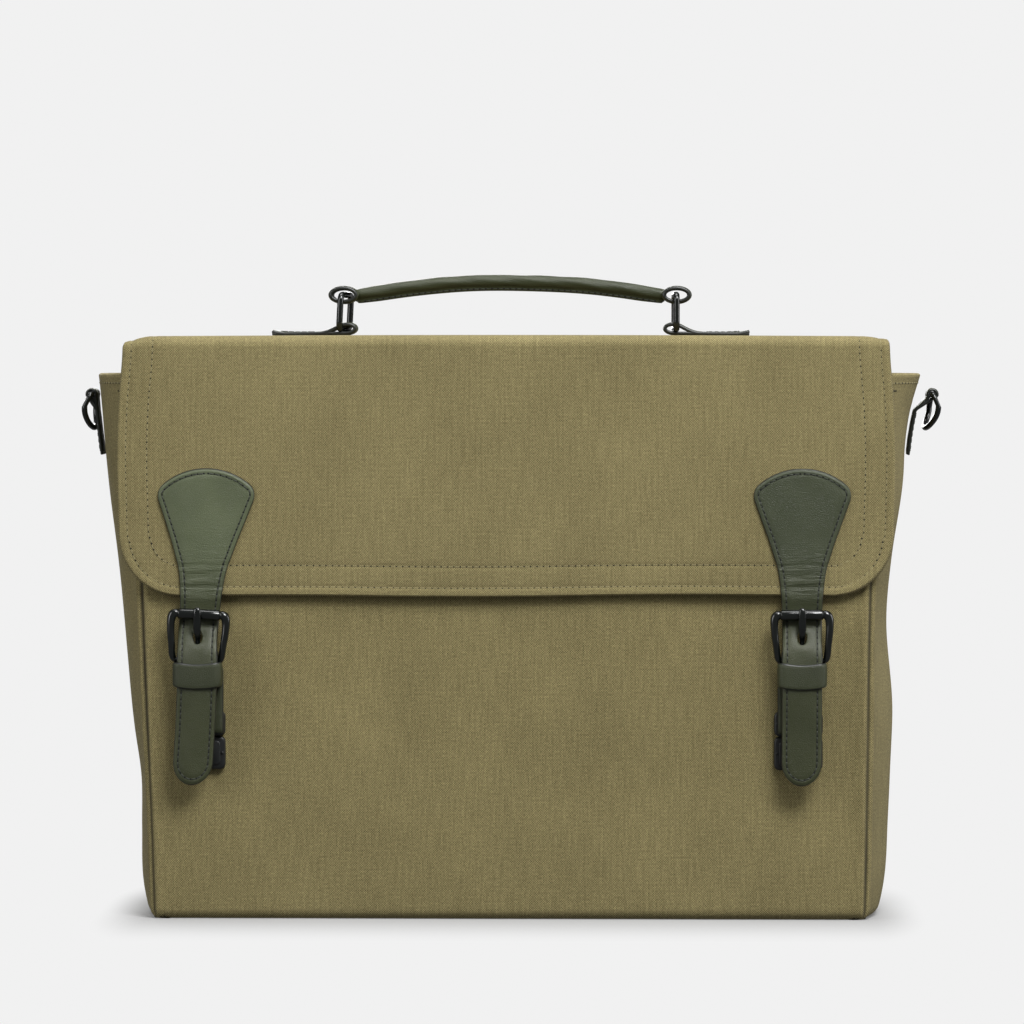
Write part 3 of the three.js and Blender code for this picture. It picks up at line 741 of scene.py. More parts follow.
# ---------------------------------------------------------------- the flap
FLAP_THICK = 2.6
FOLD_ROUND = 5.5
FLAP_CORNER = 30.0
ROW_OFFSETS = (3.5, 14.5)
FLAP_BACK = BACK_FOLD[1] - 0.5
ROOF_RUN = FLAP_BACK - (FLAP_FRONT - 0.3 + FOLD_ROUND)
FOLD_RUN = FOLD_ROUND * math.pi / 2
FACE_RUN = ROOF_Z + 0.3 - FOLD_ROUND - FLAP_BOTTOM
FLAP_RUN = ROOF_RUN + FOLD_RUN + FACE_RUN
EDGE_COLUMNS = (0, 0.8, 1.8, 2.8, 3.5, 4.2, 5.4, 7.5, 10, 12.4, 13.7, 14.5, 15.3, 16.8, 19.5, 23.5, 28)


FLAP_NARROWING = ((0, -5.0),) + tuple(
    (ROOF_RUN + t, less)
    for t, less in ((0, -4.8), (14, -4.3), (38, -2.3), (65, -1.4), (95, -2.0), (140, -3.4))
)


def flap_half(t):
    """Half the width of the flap at a distance from its back edge: widest half way down the front."""
    return FLAP_HALF + through(FLAP_NARROWING, t)


def flap_outline_half(t):
    """Half the width with the two round corners cut off."""
    h = np.clip(FLAP_RUN - t, 0, FLAP_CORNER)
    return flap_half(t) - FLAP_CORNER + np.sqrt(np.maximum(FLAP_CORNER**2 - (FLAP_CORNER - h) ** 2, 0))


def flap_edge_distance(x, t):
    """How far a point of the flap is from its side or bottom edge."""
    a = flap_half(t) - np.abs(x)
    b = FLAP_RUN - t
    corner = FLAP_CORNER - np.hypot(np.maximum(FLAP_CORNER - a, 0), np.maximum(FLAP_CORNER - b, 0))
    return np.where((a < FLAP_CORNER) & (b < FLAP_CORNER), corner, np.minimum(a, b))


def flap_point(x, t):
    """The outer face of the flap, for a place across it and a distance from its back edge."""
    x, t = np.broadcast_arrays(np.asarray(x, float), np.asarray(t, float))
    turn = np.clip((t - ROOF_RUN) / FOLD_ROUND, 0, math.pi / 2)
    drop = np.clip(t - ROOF_RUN - FOLD_RUN, 0, None)
    y = FLAP_BACK - np.minimum(t, ROOF_RUN) - FOLD_ROUND * np.sin(turn)
    z = ROOF_Z + 0.3 - FOLD_ROUND * (1 - np.cos(turn)) - drop
    out_y, out_z = -np.sin(turn), np.cos(turn)
    on_face = turn / (math.pi / 2)
    side = smooth((np.abs(x) - 180) / 21)
    corner = np.where(x < 0, 4.6, 2.4)
    push = -(corner * (1 - on_face) + 1.4 * on_face) * side**1.6
    crown = 0.7 * np.cos(x / FLAP_HALF * math.pi / 2)
    push = push + (1 - on_face) * (crown - 3.0 * (1 - smooth((t - 4) / 62)))
    push = push + on_face * (0.55 * ripple(x, drop, 31, 170) + 0.6 * smooth(drop / FACE_RUN - 0.35))
    away = flap_edge_distance(x, t)
    push = push + 0.28 * (1 - smooth((away - 2.6) / 1.2))
    for offset in ROW_OFFSETS:
        push = push - 0.34 * bump(away, offset, 0.8)
    y = y + out_y * push
    z = z + out_z * push + 0.5 * ripple(x, 0 * x, 17, 190) * smooth(drop / FACE_RUN) ** 2
    return np.stack([x + lean(z), y, z], axis=-1)


def flap_normal(x, t):
    step = 0.6
    across = flap_point(x + step, t) - flap_point(x - step, t)
    down = flap_point(x, t + step) - flap_point(x, t - step)
    return unit(np.cross(across, down)) * -1


def flap_grid():
    roof = np.linspace(0, ROOF_RUN, 24)
    fold = ROOF_RUN + np.linspace(0, FOLD_RUN, 9)[1:]
    low = FLAP_RUN - np.sort([*EDGE_COLUMNS, 0.1, 0.35])[::-1]
    face = np.linspace(fold[-1], low[0], 32)[1:-1]
    t = np.concatenate([roof, fold, face, low])
    half = flap_outline_half(t)
    edge = np.array(EDGE_COLUMNS)
    inner = np.linspace(-1, 1, 90)[1:-1]
    rows = []
    for w in half:
        rows.append(np.concatenate([-(w - edge), inner * (w - edge[-1]), (w - edge)[::-1]]))
    return np.array(rows), np.broadcast_to(t[:, None], (len(t), len(rows[0])))


def flap_row(offset):
    """A line at one distance inside the flap's edge: down one side, round the corners and up the other."""
    radius = FLAP_CORNER - offset
    down = np.linspace(1.0, FLAP_RUN - FLAP_CORNER, 90)
    last = flap_half(FLAP_RUN)
    corner = arc((-(last - FLAP_CORNER), FLAP_RUN - FLAP_CORNER), radius, 180, 90, 16)[1:-1]
    left = [(-(flap_half(t) - offset), t) for t in down]
    left += corner.tolist()
    across = [(x, FLAP_RUN - offset) for x in np.linspace(-(last - FLAP_CORNER), 0, 60)]
    half = np.array(left + across)
    other = half[::-1][1:] * np.array([-1, 1])
    return np.concatenate([half, other])


def blend_flap(made):
    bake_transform(made)


def make_flap():
    x, t = flap_grid()
    outer = flap_point(x, t)
    piece = Piece()
    slab(piece, outer, FLAP_THICK, (0, 1, 0), uv=(x, t), offset=flap_normal(x, t))
    made = piece.make("canvas_flap", [CANVAS, LINING])
    blend_flap(made)
    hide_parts("flap_roof", "flap_face")
    sewn = Piece()
    for offset in ROW_OFFSETS:
        line = flap_row(offset)
        stitches(sewn, flap_point(*line.T), flap_normal(*line.T))
    stitching = sewn.make("flap_stitching", [THREAD, HOLE_SHADE])
    blend_flap(stitching)


def make_hinge_strip():
    """The strip that joins the flap to the top of the back panel, sewn down on both."""
    on_roof, on_back, half = 15.0, 20.0, 188.0
    lift = 1.5
    ends = np.linspace(-half, -half + 6, 5)
    xs = np.concatenate([ends, np.linspace(-half + 10, half - 10, 70), -ends[::-1]])
    rows = []
    for t in np.linspace(on_roof, 1.5, 8):
        rows.append(flap_point(xs, t) + flap_normal(xs, t) * lift)
    start = rows[-1]
    back = BACK_Y + 1.2 + lift
    radius = 5.0
    for angle in np.radians(np.linspace(8, 82, 8)):
        y = back - radius + radius * math.sin(angle)
        z = start[:, 2] - radius + radius * math.cos(angle)
        rows.append(np.stack([start[:, 0], np.full(len(xs), y), z], axis=1))
    top = float(start[:, 2].mean()) - radius
    for drop in np.linspace(1, on_back, 9):
        y = back + 0.2 * ripple(xs, drop, 8, 60)
        rows.append(np.stack([start[:, 0], y, np.full(len(xs), top - drop)], axis=1))
    outer = np.array(rows)
    piece = Piece()
    slab(piece, outer, 1.1)
    made = piece.make("hinge_strip", [CANVAS])
    sewn = Piece()
    normal = normals_of(outer)
    if normal[2, 20, 2] < 0:
        normal = -normal
    for row in (1, 4, -2, -5):
        stitches(sewn, outer[row, 1:-1], normal[row, 1:-1])
    stitching = sewn.make("hinge_stitching", [THREAD, HOLE_SHADE])
    for part in (made, stitching):
        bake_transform(part)


# ---------------------------------------------------------------- the straps
STRAP_AT = {-1: -156.0, 1: 151.0}
LEATHER_THICK = 1.9
FAN_WIDTHS = (
    (81, 10.0), (120, 10.0), (160, 10.1), (167, 10.4), (175, 11.2), (183, 12.6), (188, 14.2), (195, 16.4),
    (205, 20), (215, 23.6), (221.5, 26), (228, 28),
)
FAN_TOP = corners("fan_patch_left")[1][2] - 1.2
FAN_RADIUS = 34.5
FAN_CORNER = 4.0
TIP = corners("billet_left")[0][2] + 1.3
TIP_LONG = 11.5
HOLE_AT = 146.5
DRIFT = {
    -1: ((69, 7.4), (100, 5.3), (127, 4.2), (150, 4.0), (167, 2.8), (195, 1.0), (221, 0), (234, 0)),
    1: ((70, 0.4), (127, 0.2), (234, 0)),
}
BILLET_FACE = (
    (69.5, -63.6), (95, -64.6), (121, -65.9), (134.4, -66.0), (139, -65.2), (146.5, -61.4),
    (153, -58.3), (159, -57.2), (163, -57.6), (167, -58.3),
)

CREASES = ((189, 0.1), (183.5, 0.18), (178.6, -0.22), (174, 0.2), (169.5, -0.25), (165.5, 0.2))


def fan_side(z):
    """Half the width of the strap at a height, before its ends are rounded."""
    return through(FAN_WIDTHS, z)


def strap_distance(x, z):
    """How far a point of the strap is inside its outline."""
    side = (fan_side(z) - np.abs(x)) * np.where(z > 183, 0.93, 1.0)
    top = FAN_RADIUS - np.hypot(x, z - (FAN_TOP - FAN_RADIUS))
    top = np.where(z > FAN_TOP - FAN_RADIUS, top, 99)
    corner = FAN_CORNER - np.hypot(np.maximum(FAN_CORNER - side, 0), np.maximum(FAN_CORNER - top, 0))
    both = (side < FAN_CORNER) & (top < FAN_CORNER)
    low = TIP + TIP_LONG - z
    tip = (1 - np.sqrt((x / 10) ** 2 + np.clip(low, 0, None) ** 2 / TIP_LONG**2)) * 10
    end = np.where(low > 0, tip, 99)
    return np.minimum(np.where(both, corner, np.minimum(side, top)), end)


def strap_half(z, inside=0.0):
    """Half the width of the outline, or of a line at one distance inside it, found by halving."""
    z = np.asarray(z, float)
    low, high = np.zeros(z.shape), np.full(z.shape, 30.0)
    for _ in range(30):
        middle = (low + high) / 2
        good = strap_distance(middle, z) > inside
        low, high = np.where(good, middle, low), np.where(good, high, middle)
    return low


def strap_face(x, z, sign):
    """The outer face of a strap, for a place across it and a height."""
    x, z = np.broadcast_arrays(np.asarray(x, float), np.asarray(z, float))
    at = STRAP_AT[sign] + x
    drop = ROOF_Z + 0.3 - FOLD_ROUND - z
    flap_face = flap_point(at + 1.5, ROOF_RUN + FOLD_RUN + np.clip(drop, 0, FACE_RUN))
    on_flap = flap_face[..., 1] - LEATHER_THICK - 0.2
    free = through(BILLET_FACE, z)
    share = smooth((z - 164) / 8)
    y = on_flap * share + free * (1 - share)
    away = strap_distance(x, z)
    push = -0.45 * (1 - smooth(away / 1.3)) - 0.28 * bump(away, 2.3, 0.7)
    creased = bump(z, 176, 11) * smooth(away / 5)
    for height, amount in CREASES:
        push = push + creased * amount * bump(z + 0.8 * np.sin(x / 6 + height), height, 1.5)
    push = push + 0.25 * ripple(x, z, 40 + sign, 26) * smooth(away / 6)
    ring = np.hypot(x / 1.15, z - HOLE_AT)
    push = push + 0.45 * bump(ring, 4.9, 2.6) * (z < 152)
    push = push + np.where(z < 132, 0.5, 0) * np.cos(np.clip(x / 10, -1, 1) * math.pi / 2)
    return np.stack([at - through(DRIFT[sign], z), y - push, z], axis=-1)


def strap_lines(sign, inside):
    """The stitching line round the fan and down both edges of the billet and round its tip."""
    z_top = np.linspace(FAN_TOP - inside - 0.02, 219, 26)
    z_low = np.linspace(218, 83, 120)
    z_tip = TIP + TIP_LONG - (TIP_LONG - inside * 1.1) * np.sin(np.linspace(0, math.pi / 2, 12)[1:])
    z = np.concatenate([z_top, z_low, z_tip])
    half = strap_half(z, inside)
    half[-1] = 0
    right = np.stack([half, z], axis=1)
    return np.concatenate([right, right[::-1][1:] * np.array([-1, 1])])


def cut_hole(strap, sign):
    """Cuts the oval hole that the prong goes through."""
    y = float(through(BILLET_FACE, HOLE_AT))
    cutter = Piece()
    ring = round_section(2.5, 3.7, 20)
    x, z = ring[:, 0] + strap_x(sign, HOLE_AT), ring[:, 1] + HOLE_AT
    rings = [np.stack([x, np.full(20, y + d), z], axis=1) for d in (-6, 6)]
    cutter.grid(np.stack(rings), np.arange(21)[None, :], np.arange(2)[:, None], 0, wrap=True)
    for end in rings:
        cutter.add(end, [tuple(range(20))], [end[:, :2]], 0)
    tool = cutter.make("hole_cutter", [EDGE])
    cut = strap.modifiers.new("hole", "BOOLEAN")
    cut.operation, cut.solver, cut.object = "DIFFERENCE", "EXACT", tool
    bpy.context.view_layer.update()
    mesh = bpy.data.meshes.new_from_object(strap.evaluated_get(bpy.context.evaluated_depsgraph_get()))
    strap.modifiers.clear()
    strap.data = mesh
    bpy.data.objects.remove(tool)


def make_strap(side, sign):
    rows_fan = FAN_TOP - 0.02 - 13.4 * (np.linspace(0, 1, 16) ** 1.8)
    rows_neck = np.linspace(FAN_TOP - 15, 192, 12)
    rows = np.concatenate([rows_fan, rows_neck, np.linspace(190.5, 134, 60), np.linspace(132, 83, 22)])
    tip = TIP + TIP_LONG - (TIP_LONG - 0.02) * np.sin(np.linspace(0, math.pi / 2, 14))
    z = np.concatenate([rows, tip])[::-1]
    half = strap_half(z)
    edge = np.array([0, 0.3, 0.7, 1.2, 1.8, 2.3, 2.8, 3.6])
    inner = np.linspace(-1, 1, 16)[1:-1]
    grid = []
    for w in half:
        e = edge * min(1.0, w / 6)
        grid.append(np.concatenate([-(w - e), inner * (w - e[-1]), (w - e)[::-1]]))
    x = np.array(grid)
    z = np.broadcast_to(z[:, None], x.shape)
    outer = strap_face(x, z, sign)
    normal = normals_of(outer)
    weak = half < 2.5
    normal[weak] = normal[~weak].mean(axis=(0, 1))
    piece = Piece()
    slab(piece, outer, LEATHER_THICK, (0, 1, 1), uv=(x, z), swell=0.3, offset=unit(normal))
    strap = piece.make(f"strap_{side}", [LEATHER_PAINTED_HIGHLIGHT[sign], EDGE])
    cut_hole(strap, sign)
    sewn = Piece()
    line = strap_lines(sign, 2.2)
    x, z = line.T
    slope = unit(strap_face(x, z + 0.3, sign) - strap_face(x, z - 0.3, sign))
    lean_out = unit(np.stack([np.zeros(len(x)), -slope[:, 2], slope[:, 1]], axis=1))
    stitches(sewn, strap_face(x, z, sign), lean_out, pitch=3.2, width=0.8, height=0.4, hole=0.68)
    stitching = sewn.make(f"strap_{side}_stitching", [DARK_THREAD, LEATHER_HOLE_SHADE])
    for part in (strap, stitching):
        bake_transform(part)
    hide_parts(f"fan_patch_{side}", f"billet_{side}")


def strap_x(sign, z):
    """Where the strap's middle line is at a height: each hangs a little to one side."""
    return STRAP_AT[sign] - float(through(DRIFT[sign], z))


BUCKLE_Z = 146.0            # about which each buckle is turned, as it hangs
BUCKLE_TILT = {-1: math.radians(3.0), 1: math.radians(-0.8)}


def buckle_path(sign):
    """The middle line of the buckle's wire, and its radius at each point."""
    half = np.array([
        (0, 158.1, 1.5), (6, 158.1, 1.5), (10.4, 158.1, 1.9), (11.8, 158.2, 2.35), (13.1, 157.7, 2.45),
        (13.9, 156.4, 2.35), (14.2, 154.4, 2.15), (14.2, 151.5, 2.0), (13.9, 147, 1.9), (13.4, 143, 1.8),
        (12.9, 138, 1.75), (12.5, 136, 1.7), (11.8, 134.8, 1.5), (10.6, 134.4, 1.3), (6, 134.4, 1.25),
        (0, 134.4, 1.25),
    ])
    other = half[1:-1][::-1] * np.array([-1, 1, 1])
    loop = np.concatenate([half, other])
    fine = np.array(curve_through(np.concatenate([loop[-1:], loop, loop[:2]]), (0, 0.34, 0.67)))
    x, z, radius = fine.T
    y = -60 - 0.9 * np.cos((z - BUCKLE_Z) / 13 * math.pi / 2) - 0.5
    return tilted(np.stack([x + strap_x(sign, BUCKLE_Z), y, z], axis=1), sign), radius


def tilted(points, sign):
    """Points of a buckle, turned with it as it hangs."""
    tilt = BUCKLE_TILT[sign]
    middle = np.array([strap_x(sign, BUCKLE_Z), 0, BUCKLE_Z])
    x, y, z = np.moveaxis(points - middle, -1, 0)
    turned = (x * math.cos(tilt) + z * math.sin(tilt), y, -x * math.sin(tilt) + z * math.cos(tilt))
    return np.stack(turned, axis=-1) + middle


def make_buckle(side, sign):
    path, radius = buckle_path(sign)
    across, up = planar_frame(path, closed=True)
    base = round_section(1.0, 0.95, 16)
    piece = Piece()
    sweep(piece, path, across, up, base[None] * radius[:, None, None], closed=True)
    frame_piece = piece.make(f"buckle_{side}", [METAL])
    fix(frame_piece, f"strap_{side}", "black_metal", f"buckle_frame_{side}")

    xs = np.array([-10.9, -10.9, -10.7, -10.2, -5, 0, 5, 10.2, 10.7, 10.9, 10.9])
    sizes = np.array([1.6, 2.3, 2.6, 2.8, 2.8, 2.8, 2.8, 2.8, 2.6, 2.3, 1.6])
    centre = joint(f"roller_spin_{side}")
    centres = np.tile([strap_x(sign, BUCKLE_Z), centre[1] - 0.3, centre[2]], (11, 1))
    centres[:, 0] += xs
    ring = round_section(1.0, 1.0, 28)
    piece = Piece()
    sides, ups = np.tile([0, 1.0, 0], (11, 1)), np.tile([0, 0, 1.0], (11, 1))
    sweep(piece, centres, sides, ups, ring[None] * sizes[:, None, None])
    for points in piece.points:
        points[:] = tilted(points, sign)
    made = piece.make(f"buckle_roller_{side}", [METAL])
    fix(made, f"roller_{side}", "black_metal", f"roller_{side}")

    table = np.array([
        (134.4, -61.6, 1.9, 0.8), (137.5, -60.9, 1.9, 0.85), (141.5, -60.2, 1.6, 0.8), (145, -60.6, 1.3, 0.8),
        (148, -62.6, 1.6, 1.0), (151.5, -64.3, 2.0, 1.1), (155, -65.0, 2.0, 1.05), (158.5, -65.2, 1.9, 1.0),
        (160.8, -65.0, 1.7, 0.9), (161.7, -64.8, 1.2, 0.65),
    ])
    z = np.linspace(table[0, 0], table[-1, 0], 40)
    y, half, thick = (through(np.stack([table[:, 0], table[:, k]], axis=1), z) for k in (1, 2, 3))
    path = np.stack([np.full(40, strap_x(sign, BUCKLE_Z)), y, z], axis=1)
    tangent = unit(np.gradient(path, axis=0))
    sides = np.tile([1.0, 0, 0], (40, 1))
    piece = Piece()
    section = round_section(1.0, 1.0, 14)[None] * np.stack([half, thick], axis=1)[:, None, :]
    sweep(piece, path, sides, unit(np.cross(tangent, sides)), section)
    angles = np.linspace(0, 2 * math.pi, 28, endpoint=False)
    bar = joint(f"prong_tilt_{side}")
    y, z = bar[1] - 0.3 + 2.2 * np.cos(angles), bar[2] + 2.2 * np.sin(angles)
    loop = np.stack([np.full(28, strap_x(sign, BUCKLE_Z)), y, z], axis=1)
    out, flat = planar_frame(loop, closed=True)
    sweep(piece, loop, out, flat, round_section(0.75, 1.9, 10), closed=True)
    made = piece.make(f"buckle_prong_{side}", [METAL])
    fix(made, f"prong_{side}", "black_metal", f"prong_{side}")


def rounded_loop(half_x, half_y, radius, count=64):
    """Points round a rectangle with rounded corners, about the origin, anticlockwise."""
    radius = min(radius, half_x - 0.01, half_y - 0.01)
    parts = []
    for cx, cy, start in ((1, 1, 0), (-1, 1, 90), (-1, -1, 180), (1, -1, 270)):
        parts.append(arc((cx * (half_x - radius), cy * (half_y - radius)), radius, start, start + 90, 8))
    points = np.concatenate(parts + [parts[0][:1]])
    along = lengths(points)
    at = np.linspace(0, along[-1], count, endpoint=False)
    return np.stack([np.interp(at, along, points[:, k]) for k in range(2)], axis=1)


def make_keeper(side, sign):
    low, high = corners(f"keeper_{side}")
    half_x, half_y = (high[0] - low[0]) / 2, (high[1] - low[1]) / 2
    centre_y = (high[1] + low[1]) / 2
    outer2 = rounded_loop(half_x, half_y, 4.2, 96)
    inner2 = rounded_loop(half_x - 1.5, half_y - 1.5, 2.9, 96)
    heights = np.concatenate([[0, 0.3, 0.8, 1.6], np.linspace(3, 8.7, 5), [10.1, 10.9, 11.4, 11.7]]) + low[2]
    rims = np.minimum(heights - heights[0], heights[-1] - heights)
    ring_shape = -0.35 * (1 - smooth(rims / 1.2)) - 0.18 * bump(rims, 2.0, 0.6)

    def ring(loop, relief):
        rows = []
        for z, push in zip(heights, relief):
            x, y = loop.T
            sag = -1.3 * np.cos(np.clip(x / half_x, -1, 1) * math.pi / 2) * (y < 0) + 0.4
            wide = 1 + push / half_x
            rows.append(np.stack([x * wide + strap_x(sign, 127), y * wide + centre_y, z + sag], axis=1))
        return np.stack(rows)

    piece = Piece()
    along = np.linspace(0, 70, 97)[None, :]
    cup(piece, ring(outer2, ring_shape), ring(inner2, ring_shape * 0), (0, 0, 1), along, heights[:, None])
    made = piece.make(f"strap_keeper_{side}", [DARK_LEATHER, EDGE])
    fix(made, f"strap_{side}", "leather", f"keeper_{side}")


def leather_strip(piece, path, half, thick, plane="yz", centre=0.0):
    """A band of leather bent along a path of (out, up) points; `out` is across the band's face."""
    path = np.asarray(path, float)
    edge = half - np.array([0, 0.4, 1.1, 2.2])
    across = np.concatenate([-edge, np.linspace(-half + 4, half - 4, 5), edge[::-1]])
    away = half - np.abs(across)
    relief = -0.3 * (1 - smooth(away / 1.1)) - 0.15 * bump(away, 2.2, 0.6)
    tangent = np.gradient(path, axis=0)
    normal = unit(np.stack([tangent[:, 1], -tangent[:, 0]], axis=1))
    grid, direction = [], []
    for point, n in zip(path, normal):
        row = point + relief[:, None] * n
        if plane == "yz":
            grid.append(np.stack([across + centre, row[:, 0], row[:, 1]], axis=1))
            direction.append(np.tile([0, n[0], n[1]], (len(across), 1)))
        else:
            grid.append(np.stack([row[:, 0], across + centre, row[:, 1]], axis=1))
            direction.append(np.tile([n[0], 0, n[1]], (len(across), 1)))
    slab(piece, np.array(grid), thick, (0, 0, 1), swell=0.25, offset=np.array(direction))


CHAPE_SHIFT = {-1: 2.6, 1: -1.6}   # how far the chape and clasp show beside the strap


def make_chape(side, sign):
    low = corners(f"chape_{side}")[0]
    shift = strap_x(sign, 115) + CHAPE_SHIFT[sign]
    bar = joint(f"prong_tilt_{side}") - np.array([0, 0.3, 0])
    piece = Piece()
    strip = np.linspace((-59.3, 130), (-58.4, low[2]), 16)
    leather_strip(piece, strip, 10.3, 2.2, centre=shift)
    turn = arc((bar[1], bar[2]), 3.1, 235, -55, 24)
    path = np.concatenate([[(-59.6, 127.5), (-61.2, 130)], turn, [(-58.2, 130), (-57.0, 127)]])
    for end in (-1, 1):
        leather_strip(piece, path, 3.6, 1.5, centre=strap_x(sign, 134) + end * 6.6)
    made = piece.make(f"buckle_chape_{side}", [DARK_LEATHER, EDGE])
    fix(made, f"strap_{side}", "leather", f"chape_{side}")


def block(piece, centre, half, back, front, radius, bevel, slot=0):
    """A rounded plate facing front (towards -Y), centred at (x, z)."""
    steps = [(back, bevel * 0.4), (back - 0.3, 0)]
    for rise, inset in ((1, 0), (0.4, 0.25), (0.1, 0.65), (0, 1.1)):
        steps.append((front + bevel * rise, bevel * inset))
    rings = []
    for y, inset in steps:
        loop = rounded_loop(half[0] - inset, half[1] - inset, max(radius - inset, 0.4), 72)
        rings.append(np.stack([loop[:, 0] + centre[0], np.full(72, y), loop[:, 1] + centre[1]], axis=1))
    girth = np.linspace(0, 60, 73)[None, :]
    piece.grid(np.stack(rings), girth, np.arange(len(rings))[:, None], slot, wrap=True)
    for end in (rings[0], rings[-1]):
        piece.add(end, [tuple(range(72))], [end[:, [0, 2]]], slot)


def make_clasp(side, sign):
    """The two halves of the plastic clasp, each with a raised panel and two small rivets."""
    x = strap_x(sign, 95) + CHAPE_SHIFT[sign]
    for part, body in (("plate", f"strap_{side}"), ("base", "bag")):
        node = f"clasp_{part}_{side}"
        low, high = corners(node)
        half = ((high[0] - low[0]) / 2, (high[2] - low[2]) / 2)
        middle = (x, (high[2] + low[2]) / 2)
        piece = Piece()
        block(piece, middle, half, high[1], low[1], 2.6, 1.0)
        block(piece, middle, (half[0] - 2.6, half[1] - 2.4), low[1] + 0.3, low[1] - 0.7, 1.6, 0.5)
        for end in (-1, 1):
            spot = (middle[0] + end * (half[0] - 1.5), middle[1])
            ring = rounded_loop(0.75, 0.75, 0.75, 16)
            rings = []
            for y, size in ((low[1] + 0.2, 1), (low[1] - 0.35, 1), (low[1] - 0.55, 0.6)):
                x_ring, z_ring = (ring * size + spot).T
                rings.append(np.stack([x_ring, np.full(16, y), z_ring], axis=1))
            piece.grid(np.stack(rings), np.arange(17)[None, :], np.arange(3)[:, None], 0, wrap=True)
            piece.add(rings[-1], [tuple(range(16))], [rings[-1][:, [0, 2]]], 0)
        made = piece.make(f"{node}_shown", [PLASTIC])
        fix(made, body, "black_metal", node)


# ---------------------------------------------------------------- the handle
HANDLE_Y = joint("handle_swing")[1]
HANDLE_SHIFT = -0.7
LINK_X = abs(joint("link_swing_right")[0])
LINK_LOW, LINK_HIGH = joint("handle_swing")[2], joint("handle_level")[2]
GRIP_END = 81.3


def wire_loop(name, path, radius):
    """A closed loop of round wire along a path that lies in a plane."""
    out, flat = planar_frame(path, closed=True)
    piece = Piece()
    sweep(piece, path, out, flat, round_section(radius, radius, 14), closed=True)
    return piece.make(name, [METAL])


def make_handle():
    ends = GRIP_END - np.array([0, 0.4, 1.2])
    x = np.concatenate([-ends, np.linspace(-GRIP_END + 3, GRIP_END - 3, 90), ends[::-1]])
    away = GRIP_END - np.abs(x)
    z = LINK_HIGH + 7.4 * (1 - (x / GRIP_END) ** 2) + 0.15 * ripple(x, 0 * x, 61, 90) * smooth(away / 20)
    size = 1 - 0.25 * (1 - smooth(away / 1.6)) - 0.1 * (1 - smooth(away / 14))
    angle = np.radians(np.linspace(-62, 242, 30))
    body = np.stack([3.6 * np.cos(angle), 3.1 * np.sin(angle)], axis=1)
    one_side = np.array([(1.3, -3.3), (1.1, -3.9), (1.05, -4.8), (0.7, -5.2)])
    flange = np.concatenate([one_side * [-1, 1], [(0, -5.3)], one_side[::-1]])
    outline = np.concatenate([body, flange])
    section = outline[None] * size[:, None, None]
    wrinkle = 0.12 * ripple(x[:, None], angle[None, :] * 9, 77, 13)
    section[:, : len(angle)] *= 1 + wrinkle[..., None] * 0.35
    path = np.stack([x + HANDLE_SHIFT, np.full(len(x), HANDLE_Y), z], axis=1)
    tangent = unit(np.gradient(path, axis=0))
    sides = np.tile([0, 1.0, 0], (len(x), 1))
    ups = unit(np.cross(tangent, sides))
    if ups[0, 2] < 0:
        ups = -ups
    piece = Piece()
    sweep(piece, path, sides, ups, section)
    grip = piece.make("grip", [DARK_LEATHER])
    fix(grip, "handle", "leather", "handle_wrap", "handle_core")
    sewn = Piece()
    keep = away > 3
    for face in (-1, 1):
        line = path[keep] - ups[keep] * 4.2 + np.array([0, face * 1.1, 0])
        stitches(sewn, line, np.array([0, face * 1.0, 0]), pitch=3.2)
    stitching = sewn.make("grip_stitching", [DARK_THREAD, LEATHER_HOLE_SHADE])
    fix(stitching, "handle", "leather")

    for side, sign in SIDES:
        centre = np.array([sign * (LINK_X + 0.6) + HANDLE_SHIFT, LINK_HIGH])
        count = 48
        angles = np.linspace(0, 2 * math.pi, count, endpoint=False)
        outer2 = np.stack([7.9 * np.cos(angles), 4.8 * np.sin(angles)], axis=1) + centre
        inner2 = np.stack([5.4 * np.cos(angles), 2.4 * np.sin(angles)], axis=1) + centre
        ys = np.concatenate([[-6.5, -6.3, -5.8], np.linspace(-5, 5, 7), [5.8, 6.3, 6.5]])
        rims = 6.5 - np.abs(ys)
        swell = -0.3 * (1 - smooth(rims / 1.0))
        rows = []
        for y, push in zip(ys, swell):
            grown = centre + (outer2 - centre) * (1 + push / 6)
            rows.append(np.stack([grown[:, 0], np.full(count, y + HANDLE_Y), grown[:, 1]], axis=1))
        inner = [np.stack([inner2[:, 0], np.full(count, y + HANDLE_Y), inner2[:, 1]], axis=1) for y in ys]
        piece = Piece()
        girth = np.linspace(0, 40, count + 1)[None, :]
        cup(piece, np.stack(rows), np.stack(inner), (0, 0, 1), girth, ys[:, None], axis=(0, 1, 0))
        made = piece.make(f"grip_loop_{side}", [DARK_LEATHER, EDGE])
        fix(made, "handle", "leather", f"handle_loop_{side}")

        half, low, high = 10.4, LINK_LOW, LINK_HIGH
        loop = rounded_loop(half, (high - low) / 2, 3.0, 72)
        twist = math.radians(12 if sign < 0 else -3)
        tip = 0.05 if sign < 0 else 0.0
        x = loop[:, 0] * math.sin(twist) + loop[:, 1] * tip + sign * LINK_X + HANDLE_SHIFT
        path = np.stack([x, loop[:, 0] * math.cos(twist) + HANDLE_Y, loop[:, 1] + (low + high) / 2], axis=1)
        made = wire_loop(f"link_wire_{side}", path, 1.65)
        fix(made, f"link_{side}", "black_metal", f"handle_link_{side}")


